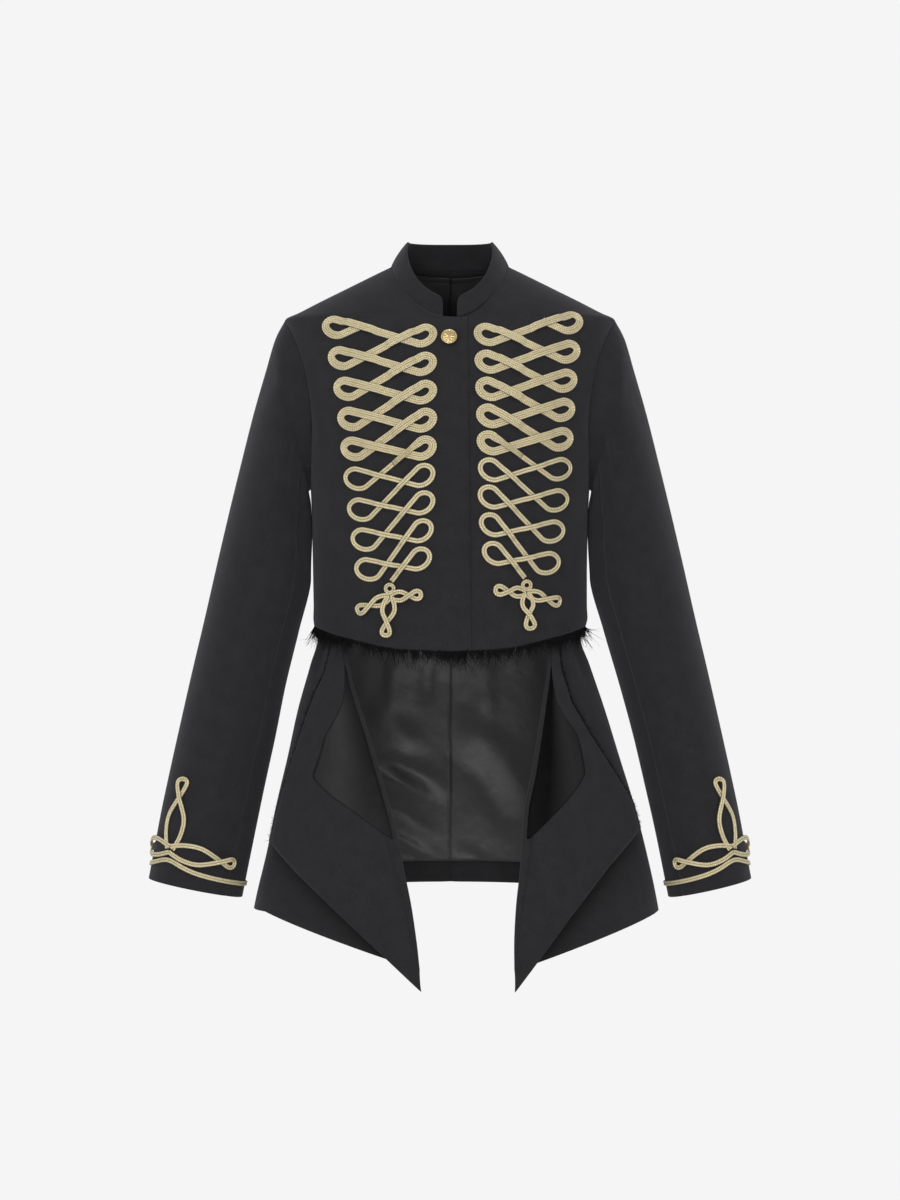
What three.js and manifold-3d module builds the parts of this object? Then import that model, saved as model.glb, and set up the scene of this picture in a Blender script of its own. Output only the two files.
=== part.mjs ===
// A frogged wool jacket, worn and hollow, in millimetres. +Z is up and the front faces -Y, so +X is
// the wearer's left. The origin is the middle of the neck, level with the tops of the shoulders.
import * as THREE from 'three';
import { mergeVertices } from 'three/addons/utils/BufferGeometryUtils.js';
import Module from 'manifold-3d';

const wasm = await Module();
wasm.setup();

// Cloth and seams.
const wool = 2;
const satin = 1;
const facingCloth = 1.2;
const collarCloth = 2.6;
const seam = 0.3;
const layerGap = 0.3;
const weldDistance = 0.01;

// Body. Half widths and depths at each height, from the neck to the tips of the tails.
const roundness = 2.3;
const bodyRows = [
  { z: 4, right: 60, left: 60, front: 6, back: 46 },
  { z: 0, right: 67, left: 67, front: 14, back: 50 },
  { z: -6, right: 79, left: 79, front: 29, back: 58 },
  { z: -14, right: 95, left: 95, front: 40, back: 65 },
  { z: -26, right: 119, left: 119, front: 52, back: 74 },
  { z: -42, right: 151, left: 151, front: 66, back: 83 },
  { z: -52, right: 170, left: 170, front: 74, back: 88 },
  { z: -61, right: 187, left: 187, front: 80, back: 92 },
  { z: -75, right: 185, left: 185, front: 90, back: 97 },
  { z: -100, right: 181, left: 181, front: 101, back: 103 },
  { z: -145, right: 173, left: 173, front: 114, back: 109 },
  { z: -195, right: 166, left: 166, front: 121, back: 111 },
  { z: -250, right: 158, left: 158, front: 119, back: 106 },
  { z: -300, right: 156, left: 156, front: 112, back: 97 },
  { z: -350, right: 155, left: 155, front: 104, back: 89 },
  { z: -395, right: 154, left: 155, front: 98, back: 84 },
  { z: -420, right: 149, left: 147, front: 97, back: 84 },
  { z: -450, right: 157, left: 157, front: 99, back: 88 },
  { z: -500, right: 171, left: 174, front: 103, back: 97 },
  { z: -555, right: 183, left: 191, front: 107, back: 108 },
  { z: -610, right: 196, left: 208, front: 110, back: 118 },
  { z: -660, right: 206, left: 221, front: 112, back: 125 },
  { z: -715, right: 219, left: 233, front: 113, back: 130 },
  { z: -830, right: 240, left: 252, front: 113, back: 140 },
];
const neck = { halfWidth: 66, frontZ: -62.5, curve: 1.25 };
const armhole = { topZ: -61, bottomZ: -252, halfDepth: 56, steps: 16 };
const frontRows = {
  top: [-2, -10, -24, -40, -50, -54.5, -57.2, -58.8],
  lower: [0.2, 0.4, 0.6, 0.8, 0.93, 1],
};
const frontHem = { sideZ: -407, centreZ: -434, cornerShare: 0.82, cornerZ: -417, kick: 4, kickZ: -380 };
const backHem = { centreZ: -706, sideDrop: 12 };
const overlap = { top: 18.7, hem: 22.8, under: -12, inset: 2.5, insetFrom: 26, insetTo: 58 };
const collar = {
  height: 28, frontHeight: 22.5, lean: 18, leanFront: 4, curl: 0.4, end: 8.5, corner: 8, lift: 0.6, span: 20,
  ends: [0, 0.02, 0.05],
};
const backRows = {
  top: [0, -10, -24, -40],
  lower: [0.08, 0.17, 0.26, 0.34, 0.4, 0.47, 0.57, 0.68, 0.8, 0.945, 1],
};
const frontColumns = 8;
const backColumns = 6;
const lining = { stride: 2, drop: 3, sideGap: 1.2 };

// Sleeves. Outer and inner points of each ring as seen from the front, half depth and lean forward.
const sleeveRows = [
  { outX: 197, outZ: -80, inRight: 160, inLeft: 160, inZ: -254.5, depth: 60, shift: 0 },
  { outX: 209, outZ: -120, inRight: 159.6, inLeft: 159.6, inZ: -262, depth: 64, shift: 0 },
  { outX: 222, outZ: -165, inRight: 158.8, inLeft: 158.8, inZ: -274, depth: 66, shift: 1 },
  { outX: 236, outZ: -220, inRight: 158, inLeft: 158, inZ: -292, depth: 66, shift: 2 },
  { outX: 250, outZ: -277, inRight: 157.2, inLeft: 157.2, inZ: -318, depth: 65, shift: 2 },
  { outX: 264, outZ: -337, inRight: 157.4, inLeft: 158.4, inZ: -353, depth: 62, shift: 1 },
  { outX: 278, outZ: -399, inRight: 171, inLeft: 174, inZ: -412, depth: 59, shift: -1 },
  { outX: 292, outZ: -459, inRight: 186, inLeft: 192, inZ: -474, depth: 56, shift: -4 },
  { outX: 304, outZ: -513, inRight: 197, inLeft: 207, inZ: -530, depth: 53, shift: -8 },
  { outX: 316, outZ: -568, inRight: 209, inLeft: 220, inZ: -586, depth: 49, shift: -12 },
  { outX: 326, outZ: -616, inRight: 219, inLeft: 231, inZ: -635, depth: 46, shift: -15 },
  { outX: 334, outZ: -660, inRight: 228, inLeft: 240, inZ: -680, depth: 43, shift: -18 },
  { outX: 339.5, outZ: -690, inRight: 234, inLeft: 246, inZ: -711, depth: 41, shift: -20 },
];
const forearmSeam = 2;
const elbowSeam = 13;

// Tails. At each share t of the way down: the fold, the free edge of the turned layer, the height of
// the side seam, how far the lining reaches from the fold to the free edge, and the loft of the fold.
const rightTail = [
  { t: 0.0, foldX: 126, foldZ: -408, freeX: 132, freeZ: -408, sideZ: -408, lining: 0, loft: 2.6, sink: 9.5 },
  { t: 0.1, foldX: 118, foldZ: -450, freeX: 141, freeZ: -455, sideZ: -447, lining: 0.03, loft: 3.4, sink: 8 },
  { t: 0.2, foldX: 105, foldZ: -490, freeX: 151, freeZ: -492, sideZ: -482, lining: 0.24, loft: 5, sink: 2.5 },
  { t: 0.3, foldX: 93, foldZ: -525, freeX: 162, freeZ: -530, sideZ: -517, lining: 0.57, loft: 6, sink: 1 },
  { t: 0.4, foldX: 80, foldZ: -570, freeX: 176, freeZ: -577, sideZ: -560, lining: 0.69, loft: 7, sink: 1 },
  { t: 0.5, foldX: 69.5, foldZ: -608, freeX: 188, freeZ: -618, sideZ: -600, lining: 0.28, loft: 7, sink: 1 },
  { t: 0.6, foldX: 62, foldZ: -640, freeX: 196, freeZ: -649, sideZ: -632, lining: 0.05, loft: 7, sink: 1 },
  { t: 0.7, foldX: 54.5, foldZ: -676, freeX: 166, freeZ: -681, sideZ: -658, lining: 0, loft: 7, sink: 1 },
  { t: 0.8, foldX: 47, foldZ: -713, freeX: 124, freeZ: -720.6, sideZ: -682, lining: 0, loft: 7, sink: 1 },
  { t: 0.9, foldX: 41, foldZ: -750, freeX: 78.3, freeZ: -763.4, sideZ: -706, lining: 0, loft: 6, sink: 1 },
  { t: 1.0, foldX: 35.5, foldZ: -784, freeX: 32, freeZ: -808, sideZ: -725, lining: 0, loft: 2.4, sink: 1 },
];
const leftTail = [
  { t: 0.0, foldX: 117, foldZ: -408, freeX: 123, freeZ: -408, sideZ: -408, lining: 0, loft: 2.6, sink: 9.5 },
  { t: 0.1, foldX: 114, foldZ: -450, freeX: 125, freeZ: -452, sideZ: -447, lining: 0.03, loft: 3.4, sink: 8 },
  { t: 0.2, foldX: 106, foldZ: -490, freeX: 132, freeZ: -491, sideZ: -482, lining: 0.38, loft: 5, sink: 2.5 },
  { t: 0.3, foldX: 100.5, foldZ: -525, freeX: 151, freeZ: -527, sideZ: -517, lining: 0.7, loft: 6, sink: 1 },
  { t: 0.4, foldX: 93.5, foldZ: -570, freeX: 178, freeZ: -572, sideZ: -560, lining: 0.59, loft: 7, sink: 1 },
  { t: 0.5, foldX: 86, foldZ: -608, freeX: 199, freeZ: -606, sideZ: -598, lining: 0.28, loft: 7, sink: 1 },
  { t: 0.6, foldX: 83.5, foldZ: -640, freeX: 207, freeZ: -635, sideZ: -628, lining: 0.11, loft: 7, sink: 1 },
  { t: 0.7, foldX: 81, foldZ: -676, freeX: 172, freeZ: -674, sideZ: -656, lining: 0, loft: 7, sink: 1 },
  { t: 0.8, foldX: 77, foldZ: -713, freeX: 131, freeZ: -727, sideZ: -680, lining: 0, loft: 7, sink: 1 },
  { t: 0.9, foldX: 74.5, foldZ: -750, freeX: 99, freeZ: -771, sideZ: -707, lining: 0, loft: 6, sink: 1 },
  { t: 1.0, foldX: 73, foldZ: -784, freeX: 71.5, freeZ: -809, sideZ: -727, lining: 0, loft: 2.4, sink: 1 },
];
const cornerShare = 0.6;
const tailRoll = { rise: 2, from: 2.6, reach: 22, fade: 0.35, sinkShare: 0.4 };
const tailShares = { under: [0.004, 0.2, 0.45, 0.7, 0.9], fold: [0, 60, 120, 180], bare: 0.05, gap: 0.006 };
const facingShares = [0.33, 0.67, 1];

// Braid. Ends of each frog, to the outsides of its loops, and heights of the middles of its loops.
const braid = {
  height: 2.4, double: 9.4, single: 6, ramp: 7, crossing: 2.7, near: 30, tie: 25.5,
  base: 0.7, topShare: 0.3, arcSteps: 6,
  belly: 6, bellyEnd: 0.7, taper: 16, pitch: 32, startClear: 2, endClear: 3, knotLift: 0.75, hubLift: 0.6,
  leafStart: 2.6, leafWidth: 5.6, ringWidth: 4.5, ringSides: 10, hubWidth: 7.7, hubReach: 5,
};
const rightFrogs = [
  { outerX: -143.5, outerZ: -74, innerX: -12.8, innerZ: -85 },
  { outerX: -136.5, outerZ: -109, innerX: -12.9, innerZ: -117 },
  { outerX: -130, outerZ: -143.5, innerX: -12.6, innerZ: -148.5 },
  { outerX: -125.5, outerZ: -177, innerX: -12.5, innerZ: -179.5 },
  { outerX: -122, outerZ: -210, innerX: -12.8, innerZ: -210 },
  { outerX: -118.5, outerZ: -243, innerX: -14.1, innerZ: -240 },
  { outerX: -114.5, outerZ: -277, innerX: -14, innerZ: -270 },
  { outerX: -110.5, outerZ: -310, innerX: -15.6, innerZ: -300.5 },
  { outerX: -106.5, outerZ: -343, innerX: -17.6, innerZ: -331.5 },
];
const leftFrogs = [
  { outerX: 149.5, outerZ: -68.5, innerX: 25, innerZ: -83 },
  { outerX: 146, outerZ: -101.5, innerX: 25.8, innerZ: -114 },
  { outerX: 142.5, outerZ: -134, innerX: 26.5, innerZ: -144.5 },
  { outerX: 140, outerZ: -166.5, innerX: 27.3, innerZ: -174.5 },
  { outerX: 138, outerZ: -199, innerX: 27.8, innerZ: -204.2 },
  { outerX: 136.5, outerZ: -232, innerX: 29, innerZ: -233.8 },
  { outerX: 133, outerZ: -266.5, innerX: 28.6, innerZ: -263.6 },
  { outerX: 128.5, outerZ: -301, innerX: 29.8, innerZ: -294 },
  { outerX: 123.5, outerZ: -336, innerX: 33, innerZ: -325.5 },
];
const loopReach = { inner: 14.1, outer: 13.9 };
const doubleFrogs = 5;
const eyelet = 4.6;
const rightKnot = {
  x: -66, z: -373, stemX: -64.5, stemZ: -356.2, ring: 4.4, ringRise: 9,
  leaves: [
    { angle: 204, neck: 24, reach: 35, half: 4.8 },
    { angle: 4, neck: 21, reach: 30, half: 4.8 },
    { angle: 265, neck: 28, reach: 39, half: 6.6 },
  ],
};
const leftKnot = {
  x: 84, z: -369, stemX: 82.6, stemZ: -352.5, ring: 4.4, ringRise: 8.7,
  leaves: [
    { angle: 174, neck: 20, reach: 30, half: 4.8 },
    { angle: 344, neck: 23, reach: 34, half: 4.8 },
    { angle: 275, neck: 24, reach: 35, half: 6 },
  ],
};

// Cuff braid. Its plane is wrapped on the sleeve: one degree round the sleeve is cuff.degree mm.
const cuff = {
  degree: 0.75, middleAngle: 128, middleRise: 38, bandRise: 14, bandPeak: 12, bandSpread: 20, bandSteps: 28,
  downX: 0.22, downZ: -0.97,
  leaves: [
    { angle: 90, neck: 59, reach: 74, half: 9.6 },
    { angle: -3, neck: 48, reach: 58, half: 9.4 },
    { angle: 183, neck: 48, reach: 58, half: 9.4 },
  ],
};

// Button and frayed threads.
const button = { x: -1.1, z: -87.5, radius: 9, rim: 1.4, dome: 4, shank: 2.6, sides: 16 };
const fray = { strip: 3, thick: 1.2, drop: 0.6, sunk: 0.4, from: 0.01, to: 0.98 };
const frontFray = { strands: 46, shortest: 3, longest: 15, centre: 5, centreShare: 0.2, sway: 1.2 };
const tailFray = { strands: 28, shortest: 2, longest: 8, sway: 1 };

const materials = {
  wool: { color: 0x2c2c30, roughness: 0.9, metalness: 0 },
  satin: { color: 0x36363a, roughness: 0.45, metalness: 0 },
  braid: { color: 0xc2b68a, roughness: 0.5, metalness: 0.3 },
  brass: { color: 0xcfa95a, roughness: 0.35, metalness: 0.8 },
};

const jacket = new THREE.Group();

function addPiece(name, finish, geometry) {
  const mesh = new THREE.Mesh(geometry, new THREE.MeshStandardMaterial(materials[finish]));
  mesh.name = name;
  jacket.add(mesh);
}

// Smooth reading of a table between its rows, with no overshoot.
function sample(rows, key, value, column) {
  const rising = rows[rows.length - 1][key] > rows[0][key] ? 1 : -1;
  let k = 0;
  while (k < rows.length - 2 && (value - rows[k + 1][key]) * rising > 0) k += 1;
  const slope = (i) => (rows[i + 1][column] - rows[i][column]) / (rows[i + 1][key] - rows[i][key]);
  const tangent = (i) => {
    if (i === 0) return slope(0);
    if (i === rows.length - 1) return slope(i - 1);
    const before = slope(i - 1);
    const after = slope(i);
    return before * after <= 0 ? 0 : (2 * before * after) / (before + after);
  };
  const width = rows[k + 1][key] - rows[k][key];
  const s = THREE.MathUtils.clamp((value - rows[k][key]) / width, 0, 1);
  const start = rows[k][column];
  const end = rows[k + 1][column];
  const startTangent = tangent(k) * width;
  const endTangent = tangent(k + 1) * width;
  return start * (1 + 2 * s) * (1 - s) ** 2 + startTangent * s * (1 - s) ** 2
    + end * s * s * (3 - 2 * s) + endTangent * s * s * (s - 1);
}

// Geometry from vertices and faces, with its faces pointing out.
function solid(vertices, faces) {
  const positions = vertices.flatMap((p) => [p.x, p.y, p.z]);
  let volume = 0;
  for (const [a, b, c] of faces) {
    volume += vertices[a].dot(new THREE.Vector3().crossVectors(vertices[b], vertices[c]));
  }
  const outward = volume > 0 ? faces : faces.map(([a, b, c]) => [a, c, b]);
  const geometry = new THREE.BufferGeometry();
  geometry.setAttribute('position', new THREE.Float32BufferAttribute(positions, 3));
  geometry.setIndex(outward.flat());
  return geometry;
}

// A wall between two grids of points that run side by side.
function wall(outer, inner) {
  const rows = outer.length;
  const columns = outer[0].length;
  const vertices = [...outer.flat(), ...inner.flat()];
  const at = (layer, row, column) => layer * rows * columns + row * columns + column;
  const faces = [];
  const quad = (a, b, c, d) => faces.push([a, b, c], [a, c, d]);
  for (let row = 0; row < rows - 1; row += 1) {
    for (let column = 0; column < columns - 1; column += 1) {
      quad(at(0, row, column), at(0, row + 1, column), at(0, row + 1, column + 1), at(0, row, column + 1));
      quad(at(1, row, column), at(1, row, column + 1), at(1, row + 1, column + 1), at(1, row + 1, column));
    }
    quad(at(0, row, 0), at(1, row, 0), at(1, row + 1, 0), at(0, row + 1, 0));
    const last = columns - 1;
    quad(at(0, row, last), at(0, row + 1, last), at(1, row + 1, last), at(1, row, last));
  }
  for (let column = 0; column < columns - 1; column += 1) {
    quad(at(0, 0, column), at(0, 0, column + 1), at(1, 0, column + 1), at(1, 0, column));
    const last = rows - 1;
    quad(at(0, last, column), at(1, last, column), at(1, last, column + 1), at(0, last, column + 1));
  }
  return solid(vertices, faces);
}

// A tube through rings of points, capped at its ends or closed on itself.
function tube(rings, closed) {
  const count = rings[0].length;
  const faces = [];
  const at = (ring, side) => (ring % rings.length) * count + (side % count);
  const spans = closed ? rings.length : rings.length - 1;
  for (let ring = 0; ring < spans; ring += 1) {
    for (let side = 0; side < count; side += 1) {
      faces.push([at(ring, side), at(ring, side + 1), at(ring + 1, side + 1)]);
      faces.push([at(ring, side), at(ring + 1, side + 1), at(ring + 1, side)]);
    }
  }
  if (!closed) {
    for (let side = 1; side < count - 1; side += 1) {
      faces.push([at(0, 0), at(0, side + 1), at(0, side)]);
      faces.push([at(rings.length - 1, 0), at(rings.length - 1, side), at(rings.length - 1, side + 1)]);
    }
  }
  return solid(rings.flat(), faces);
}

function toManifold(source) {
  const geometry = source.clone();
  geometry.deleteAttribute('normal');
  geometry.deleteAttribute('uv');
  const merged = mergeVertices(geometry, 1e-4);
  return new wasm.Manifold(new wasm.Mesh({
    numProp: 3,
    vertProperties: new Float32Array(merged.attributes.position.array),
    triVerts: new Uint32Array(merged.index.array),
  }));
}

// One solid from several that meet, without the crumbs and slivers that a join can leave.
function join(geometries) {
  const whole = geometries.map(toManifold).reduce((sum, piece) => sum.add(piece));
  const bodies = whole.decompose().sort((first, second) => second.volume() - first.volume());
  const mesh = bodies[0].getMesh();
  const geometry = new THREE.BufferGeometry();
  geometry.setAttribute('position', new THREE.BufferAttribute(mesh.vertProperties, 3));
  geometry.setIndex(new THREE.BufferAttribute(mesh.triVerts, 1));
  const welded = mergeVertices(geometry, weldDistance);
  const index = Array.from(welded.index.array);
  const kept = [];
  for (let k = 0; k < index.length; k += 3) {
    const [a, b, c] = index.slice(k, k + 3);
    if (a !== b && b !== c && c !== a) kept.push(a, b, c);
  }
  welded.setIndex(kept);
  return welded;
}

// Pulls the rim of a grid in, so that pieces lie apart at their seams.
function trim(points, normals, thickness) {
  const rows = points.length;
  const columns = points[0].length;
  const pulled = points.map((row) => row.map((p) => p.clone()));
  const pull = (row, column, nextRow, nextColumn) => {
    const way = points[nextRow][nextColumn].clone().sub(points[row][column]);
    pulled[row][column].addScaledVector(way.normalize(), seam / 2);
  };
  for (let row = 0; row < rows; row += 1) {
    pull(row, 0, row, 1);
    pull(row, columns - 1, row, columns - 2);
  }
  for (let column = 0; column < columns; column += 1) {
    pull(0, column, 1, column);
    pull(rows - 1, column, rows - 2, column);
  }
  return wall(pulled, sunk(pulled, normals, thickness));
}

function sunk(points, normals, depth) {
  return points.map((row, i) => row.map((p, j) => p.clone().addScaledVector(normals[i][j], -depth)));
}

function halfWidth(z, side) {
  return sample(bodyRows, 'z', z, side < 0 ? 'right' : 'left');
}

// The body's outside: angle 0 is the middle of the front and grows towards the wearer's left.
function bodySurface(angle, z) {
  const across = Math.abs(Math.sin(angle)) ** (2 / roundness) * Math.sign(Math.sin(angle));
  const along = Math.abs(Math.cos(angle)) ** (2 / roundness) * Math.sign(Math.cos(angle));
  const depth = sample(bodyRows, 'z', z, along > 0 ? 'front' : 'back');
  return new THREE.Vector3(halfWidth(z, across) * across, -depth * along, z);
}

function bodyNormal(angle, z) {
  const turn = 0.01;
  const rise = 0.6;
  const around = bodySurface(angle + turn, z).sub(bodySurface(angle - turn, z));
  const up = bodySurface(angle, z + rise).sub(bodySurface(angle, z - rise));
  return around.cross(up).normalize();
}

function bodyPoint(angle, z, height = 0) {
  return bodySurface(angle, z).addScaledVector(bodyNormal(angle, z), height);
}

function angleAt(x, z) {
  const share = Math.min(Math.abs(x) / halfWidth(z, x), 1);
  return Math.asin(share ** (roundness / 2)) * Math.sign(x);
}

// How far the fronts stand off the body: out at the hem, and in where the left lies under the right.
function frontRise(x, z, side) {
  const kick = frontHem.kick * THREE.MathUtils.smoothstep(-z, -frontHem.kickZ, -frontHem.centreZ);
  const under = 1 - THREE.MathUtils.smoothstep(x, overlap.insetFrom, overlap.insetTo);
  return kick - (side > 0 ? overlap.inset * under : 0);
}

function frontPoint(x, z, height = 0) {
  const side = x > sample([{ z: neck.frontZ, x: overlap.top }, { z: frontHem.centreZ, x: overlap.hem }],
    'z', z, 'x') ? 1 : -1;
  return bodyPoint(angleAt(x, z), z, height + frontRise(x, z, side));
}

function armholePoint(turn) {
  const middleZ = (armhole.topZ + armhole.bottomZ) / 2;
  const z = middleZ - ((armhole.topZ - armhole.bottomZ) / 2) * Math.cos(turn);
  const y = -armhole.halfDepth * Math.sin(turn);
  const depth = sample(bodyRows, 'z', z, y < 0 ? 'front' : 'back');
  const fromFront = Math.acos(Math.min(Math.abs(y) / depth, 1) ** (roundness / 2));
  const angle = y < 0 ? fromFront : Math.PI - fromFront;
  return { z, angle, across: y / armhole.halfDepth, up: -Math.cos(turn) };
}

function armholeNormal(turn, side) {
  const { z, angle, across, up } = armholePoint(turn);
  const radial = new THREE.Vector3(0, across, up);
  return radial.add(bodyNormal(angle * side, z)).normalize();
}

// Rows of a body panel between the neck and a hem, with the armhole's rows in between.
function panelRows(top, lower, hem) {
  const rows = top.map((z) => ({ z: () => z, turn: null }));
  const half = armhole.steps / 2;
  for (let step = half; step >= 0; step -= 1) {
    const turn = (step * Math.PI) / half;
    rows.push({ z: () => armholePoint(turn).z, turn });
  }
  for (const share of lower) {
    rows.push({ z: (angle) => THREE.MathUtils.lerp(armhole.bottomZ, hem(angle), share), turn: null });
  }
  return rows;
}

function frontHemZ(angle) {
  const share = Math.abs(Math.sin(angle)) ** (2 / roundness);
  const curve = [
    { share: 0, z: frontHem.centreZ },
    { share: 0.35, z: frontHem.centreZ + 2 },
    { share: frontHem.cornerShare, z: frontHem.cornerZ },
    { share: 1, z: frontHem.sideZ },
  ];
  return sample(curve, 'share', share, 'z');
}

function backHemZ(angle) {
  return backHem.centreZ - backHem.sideDrop * Math.abs(Math.sin(angle)) ** 2;
}

function neckHalfWidth(z) {
  return neck.halfWidth * Math.sqrt(Math.max(1 - (z / neck.frontZ) ** neck.curve, 0));
}

// The edge of each front towards the middle: the neckline above, the overlap below.
function frontEdgeX(z, side) {
  if (z > neck.frontZ) return side * neckHalfWidth(z);
  if (side > 0) return overlap.under;
  const down = (z - neck.frontZ) / (frontHem.centreZ - neck.frontZ);
  return THREE.MathUtils.lerp(overlap.top, overlap.hem, down);
}

function frontPanel(side) {
  const rows = panelRows(frontRows.top, frontRows.lower, frontHemZ);
  rows[frontRows.top.length + 1].dip = neck.frontZ - seam;
  const columns = frontColumns;
  const points = [];
  const normals = [];
  for (const row of rows) {
    const rowPoints = [];
    const rowNormals = [];
    for (let column = 0; column <= columns; column += 1) {
      const share = column / columns;
      const guess = row.dip ?? row.z(0);
      const first = angleAt(frontEdgeX(guess, side), guess);
      const last = side * (row.turn === null ? Math.PI / 2 : armholePoint(row.turn).angle);
      const angle = THREE.MathUtils.lerp(first, last, share);
      const dip = row.dip === undefined ? 0 : (row.dip - row.z(0)) * (1 - share) ** 4;
      const z = row.z(angle) + dip;
      const x = bodySurface(angle, z).x;
      const edge = column === columns && row.turn !== null;
      rowPoints.push(bodyPoint(angle, z, edge ? 0 : frontRise(x, z, side)));
      rowNormals.push(edge ? armholeNormal(row.turn, side) : bodyNormal(angle, z));
    }
    points.push(rowPoints);
    normals.push(rowNormals);
  }
  return { points, normals };
}

function backPanel(side) {
  const rows = panelRows(backRows.top, backRows.lower, backHemZ);
  const columns = backColumns;
  const points = [];
  const normals = [];
  for (const row of rows) {
    const rowPoints = [];
    const rowNormals = [];
    for (let column = 0; column <= columns; column += 1) {
      const last = row.turn === null ? Math.PI / 2 : armholePoint(2 * Math.PI - row.turn).angle;
      const angle = side * THREE.MathUtils.lerp(Math.PI, last, column / columns);
      const z = row.z(angle);
      const edge = column === columns && row.turn !== null;
      rowPoints.push(bodyPoint(angle, z));
      rowNormals.push(edge ? armholeNormal(2 * Math.PI - row.turn, side) : bodyNormal(angle, z));
    }
    points.push(rowPoints);
    normals.push(rowNormals);
  }
  return { points, normals };
}

// The lining lies inside both backs, on their own points, and stops short of the hem.
function backLining() {
  const halves = [backPanel(-1), backPanel(1)];
  const inward = (depth) => halves[0].points.slice(0, -1).map((row, i) => {
    const at = (half, j) => half.points[i][j].clone()
      .addScaledVector(half.normals[i][j], j === row.length - 1 ? -depth - lining.sideGap : -depth);
    const columns = [];
    for (let j = row.length - 1; j > 0; j -= lining.stride) columns.push(at(halves[0], j));
    for (let j = 0; j < row.length; j += lining.stride) columns.push(at(halves[1], j));
    if (i === 0) columns.forEach((point) => point.setZ(point.z - lining.drop));
    return columns;
  });
  return wall(inward(wool + layerGap), inward(wool + layerGap + satin));
}

// The neckline: turn 0 is the middle of the front, a half turn the middle of the back.
function necklinePoint(turn) {
  const side = Math.sign(Math.sin(turn));
  if (Math.cos(turn) <= 0) return bodySurface(turn, 0);
  const z = neck.frontZ * Math.cos(turn) ** (2 / neck.curve);
  return bodySurface(angleAt(side * neckHalfWidth(z), z), z);
}

function collarBand() {
  const ends = Math.asin(collar.end / neck.halfWidth);
  const whole = 2 * Math.PI - 2 * ends;
  const lastEnd = collar.ends[collar.ends.length - 1];
  const shares = [...collar.ends];
  for (let step = 1; step < collar.span; step += 1) {
    shares.push(THREE.MathUtils.lerp(lastEnd, 1 - lastEnd, step / collar.span));
  }
  shares.push(...collar.ends.map((share) => 1 - share).reverse());
  const outer = [[], [], []];
  const inner = [[], [], []];
  for (const share of shares) {
    const turn = ends + whole * share;
    const base = necklinePoint(turn);
    const frontness = Math.max(Math.cos(turn), 0);
    const height = THREE.MathUtils.lerp(collar.height, collar.frontHeight, frontness);
    const fromEnd = Math.min(share, 1 - share) * whole * neck.halfWidth;
    const inset = Math.max(collar.corner - fromEnd, 0);
    const drop = collar.corner - Math.sqrt(collar.corner ** 2 - inset ** 2);
    const inward = new THREE.Vector3(-base.x, -base.y, 0).normalize();
    const lean = THREE.MathUtils.lerp(collar.lean, collar.leanFront, frontness);
    [0, 0.5, 1].forEach((rise, row) => {
      const up = collar.lift + (height - drop) * rise;
      const curled = rise * (collar.curl * rise + 1 - collar.curl);
      const point = base.clone().addScaledVector(inward, lean * curled);
      point.z += up;
      outer[row].push(point);
      inner[row].push(point.clone().addScaledVector(inward, collarCloth));
    });
  }
  return wall(outer, inner);
}

// Sleeves: rings from the armhole to the cuff, in which turn 0 is the underarm.
function sleeveRing(row, side) {
  const ring = [];
  for (let step = 0; step < armhole.steps; step += 1) {
    const turn = (step * 2 * Math.PI) / armhole.steps;
    ring.push(sleeveRingPoint(row, side, turn));
  }
  return ring;
}

function sleeveRingPoint(row, side, turn) {
  const inX = side < 0 ? row.inRight : row.inLeft;
  const middleX = (row.outX + inX) / 2;
  const middleZ = (row.outZ + row.inZ) / 2;
  const x = middleX + (inX - middleX) * Math.cos(turn);
  const z = middleZ + (row.inZ - middleZ) * Math.cos(turn);
  return new THREE.Vector3(side * x, row.shift - row.depth * Math.sin(turn), z);
}

function sleeveGrid(side) {
  const rings = sleeveRows.map((row) => sleeveRing(row, side));
  const first = rings[0].map((next, step) => {
    const { z, angle } = armholePoint((step * 2 * Math.PI) / armhole.steps);
    const point = bodySurface(angle * side, z);
    return point.addScaledVector(next.clone().sub(point).normalize(), seam);
  });
  const points = [first, ...rings];
  const count = armhole.steps;
  const normals = points.map((ring, i) => ring.map((p, j) => {
    if (i === 0) return armholeNormal((j * 2 * Math.PI) / count, side);
    const around = ring[(j + 1) % count].clone().sub(ring[(j + count - 1) % count]);
    const below = points[Math.min(i + 1, points.length - 1)][j];
    const down = below.clone().sub(points[i - 1][j]);
    return around.cross(down).multiplyScalar(-side).normalize();
  }));
  return { points, normals };
}

function sleevePiece(grid, from, to) {
  const pick = (ring) => {
    const picked = [];
    for (let step = from; step <= to; step += 1) picked.push(ring[step % armhole.steps]);
    return picked;
  };
  const points = grid.points.map(pick);
  const normals = grid.normals.map(pick);
  const pulled = points.map((row) => row.map((p) => p.clone()));
  const last = points[0].length - 1;
  points.forEach((row, i) => {
    pulled[i][0].addScaledVector(row[1].clone().sub(row[0]).normalize(), seam / 2);
    pulled[i][last].addScaledVector(row[last - 1].clone().sub(row[last]).normalize(), seam / 2);
  });
  return wall(pulled, sunk(pulled, normals, wool));
}

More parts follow.
